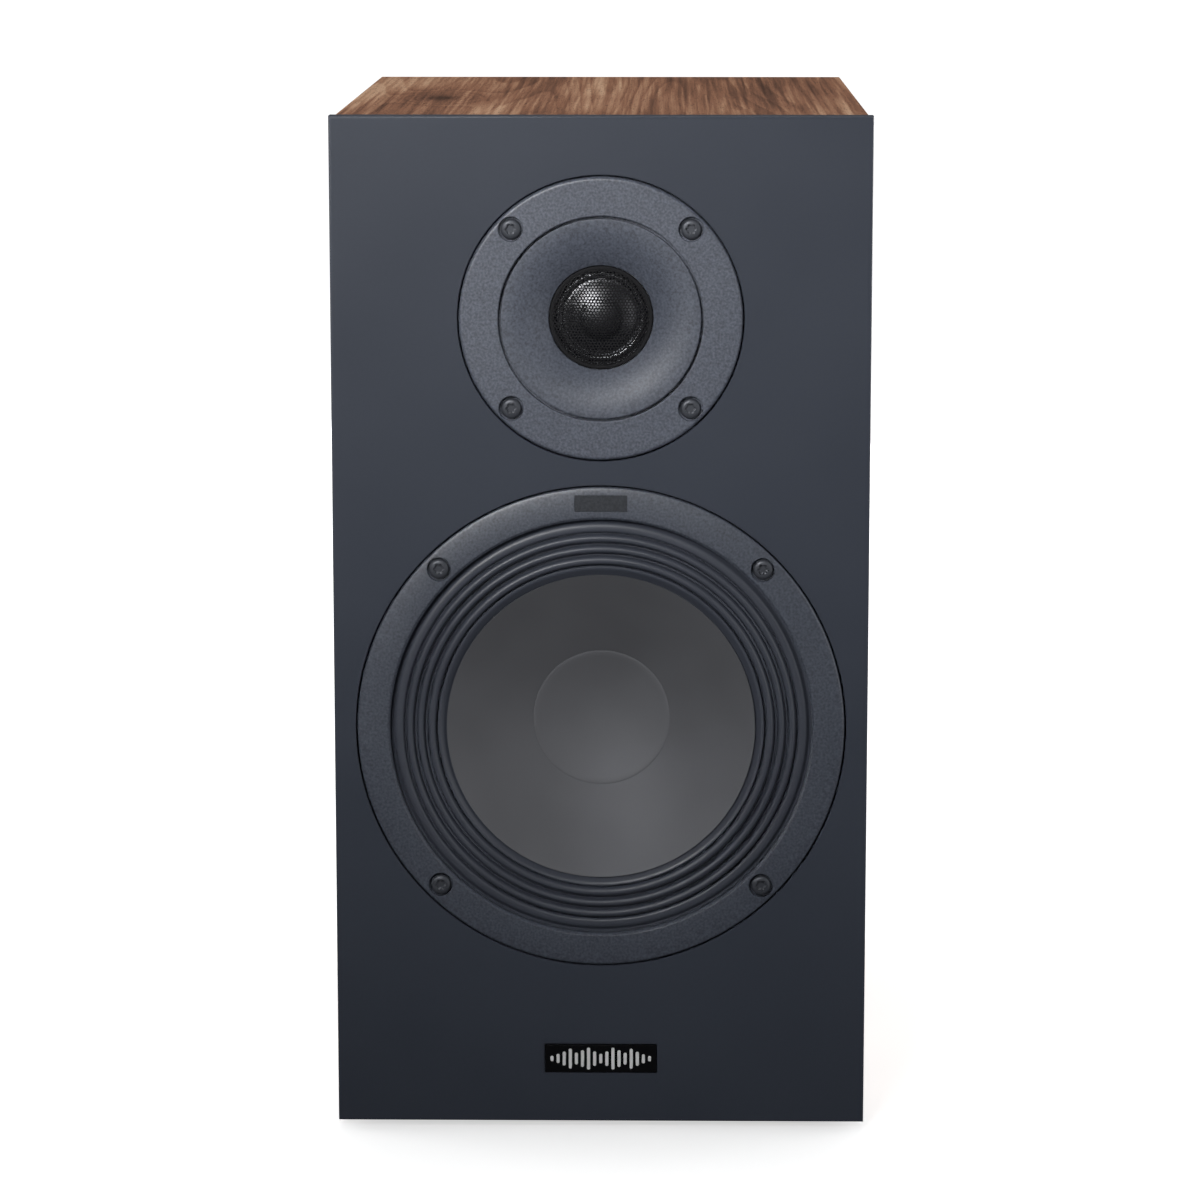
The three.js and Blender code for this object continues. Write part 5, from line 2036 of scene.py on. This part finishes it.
@dataclass
class Studio:
    """Camera, pale floor and backdrop, and soft lights."""

    camera_place: tuple[float, float, float] = (0.0213, -1.6291, 0.4569)
    pitch: float = 9.98
    yaw: float = 0.83
    lens: float = 128.0
    lights: tuple[Softbox, ...] = (
        Softbox("key_front_left", (-0.32, -1.15, 0.70), (-0.02, -0.14, 0.37), (0.45, 0.35), 0.86, 47),
        Softbox("overhead", (0.0, 0.50, 1.7), (0.0, 0.15, 0.3), (1.6, 1.1), 12.0),
        Softbox("left_side", (-1.5, 0.30, 0.55), (0.0, 0.30, 0.55), (1.1, 0.9), 16.0),
        Softbox("right_side", (1.5, 0.42, 0.55), (0.0, 0.42, 0.55), (1.1, 0.8), 12.0),
        Softbox("front_right", (0.95, -0.85, 0.30), (0.0, -0.14, 0.155), (0.6, 0.9), 2.4),
        Softbox("behind", (0.45, 1.6, 0.20), (0.0, 0.15, 0.18), (1.4, 0.3), 8.0),
    )

    def build(self) -> None:
        """Sets the camera first, then the stage and lights."""
        self.build_camera()
        self.build_stage()
        for light in self.lights:
            light.build()

    def build_camera(self) -> None:
        """Stands the camera in front, a little above and looking down."""
        bpy.ops.object.camera_add(
            location=self.camera_place,
            rotation=(math.radians(90 - self.pitch), 0, math.radians(self.yaw)),
        )
        camera = bpy.context.object
        camera.data.lens = self.lens
        camera.data.sensor_width = 36.0
        camera.data.clip_start, camera.data.clip_end = 0.01, 60.0
        bpy.context.scene.camera = camera

    def build_stage(self) -> None:
        """A pale floor with a painted glow and a pale round backdrop; neither throws light on the object."""
        bpy.ops.object.select_all(action="DESELECT")
        bpy.ops.mesh.primitive_circle_add(vertices=96, radius=8.0, fill_type="NGON", location=(0, 0, 0))
        floor = bpy.context.object
        bpy.ops.mesh.primitive_uv_sphere_add(segments=64, ring_count=32, radius=8.0, location=(0, 0, 0))
        backdrop = bpy.context.object
        for piece, name, glow in ((floor, "floor", 0.6), (backdrop, "backdrop", 1.05)):
            piece.name = piece.data.name = name
            piece.data.materials.append(self.paper(name, glow))
            piece.visible_diffuse = piece.visible_glossy = piece.visible_transmission = False
        backdrop.visible_shadow = False
        world = bpy.data.worlds.new("studio_air")
        bpy.context.scene.world = world
        world.use_nodes = True
        air = world.node_tree.nodes["Background"]
        air.inputs["Color"].default_value = linear("#e9eef7")
        air.inputs["Strength"].default_value = 0.03
        bpy.context.scene.view_settings.view_transform = "Standard"

    def paper(self, name: str, glow: float) -> bpy.types.Material:
        """White seamless paper with a painted glow, weaker under the object and stronger farther off: it gives
        a clean white ground.

        Args:
            name: The end of the material's name.
            glow: How brightly its painted glow shines under the object.

        Returns:
            The material.
        """
        made = bpy.data.materials.new(f"seamless_paper_{name}")
        made.use_nodes = True
        tree = made.node_tree
        tree.nodes.clear()
        fibres = add(tree, "ShaderNodeTexNoise", {"Scale": 900.0, "Detail": 1.0})
        bump = add(
            tree,
            "ShaderNodeBump",
            {"Height": fibres.outputs["Fac"], "Strength": 0.1, "Distance": 0.1 * MM},
        )
        where = add(tree, "ShaderNodeTexCoord")
        far = add(tree, "ShaderNodeVectorMath", {0: where.outputs["Object"]}, operation="LENGTH")
        # Painted glow: the paper emits light, less beneath the object and more farther from it.
        painted_glow = add(
            tree,
            "ShaderNodeMapRange",
            {"Value": far.outputs["Value"], 1: 0.3, 2: 1.6, 3: glow, 4: 1.1},
        )
        shader = add(
            tree,
            "ShaderNodeBsdfPrincipled",
            {
                "Base Color": linear("#f4f4f4"),
                "Roughness": 0.9,
                "Specular IOR Level": 0.1,
                "Emission Color": linear("#ffffff"),
                "Emission Strength": painted_glow.outputs[0],
                "Normal": bump.outputs[0],
            },
        )
        add(tree, "ShaderNodeOutputMaterial", {"Surface": shader.outputs[0]})
        return made


def main() -> None:
    """Builds the studio, then each sub-assembly in order."""
    Studio().build()
    for assembly in (Cabinet(), Badge(), Woofer(), Tweeter(), Port(), Terminals(), Crossover()):
        log.info("building %s", type(assembly).__name__)
        assembly.build()


if __name__ == "__main__":
    main()
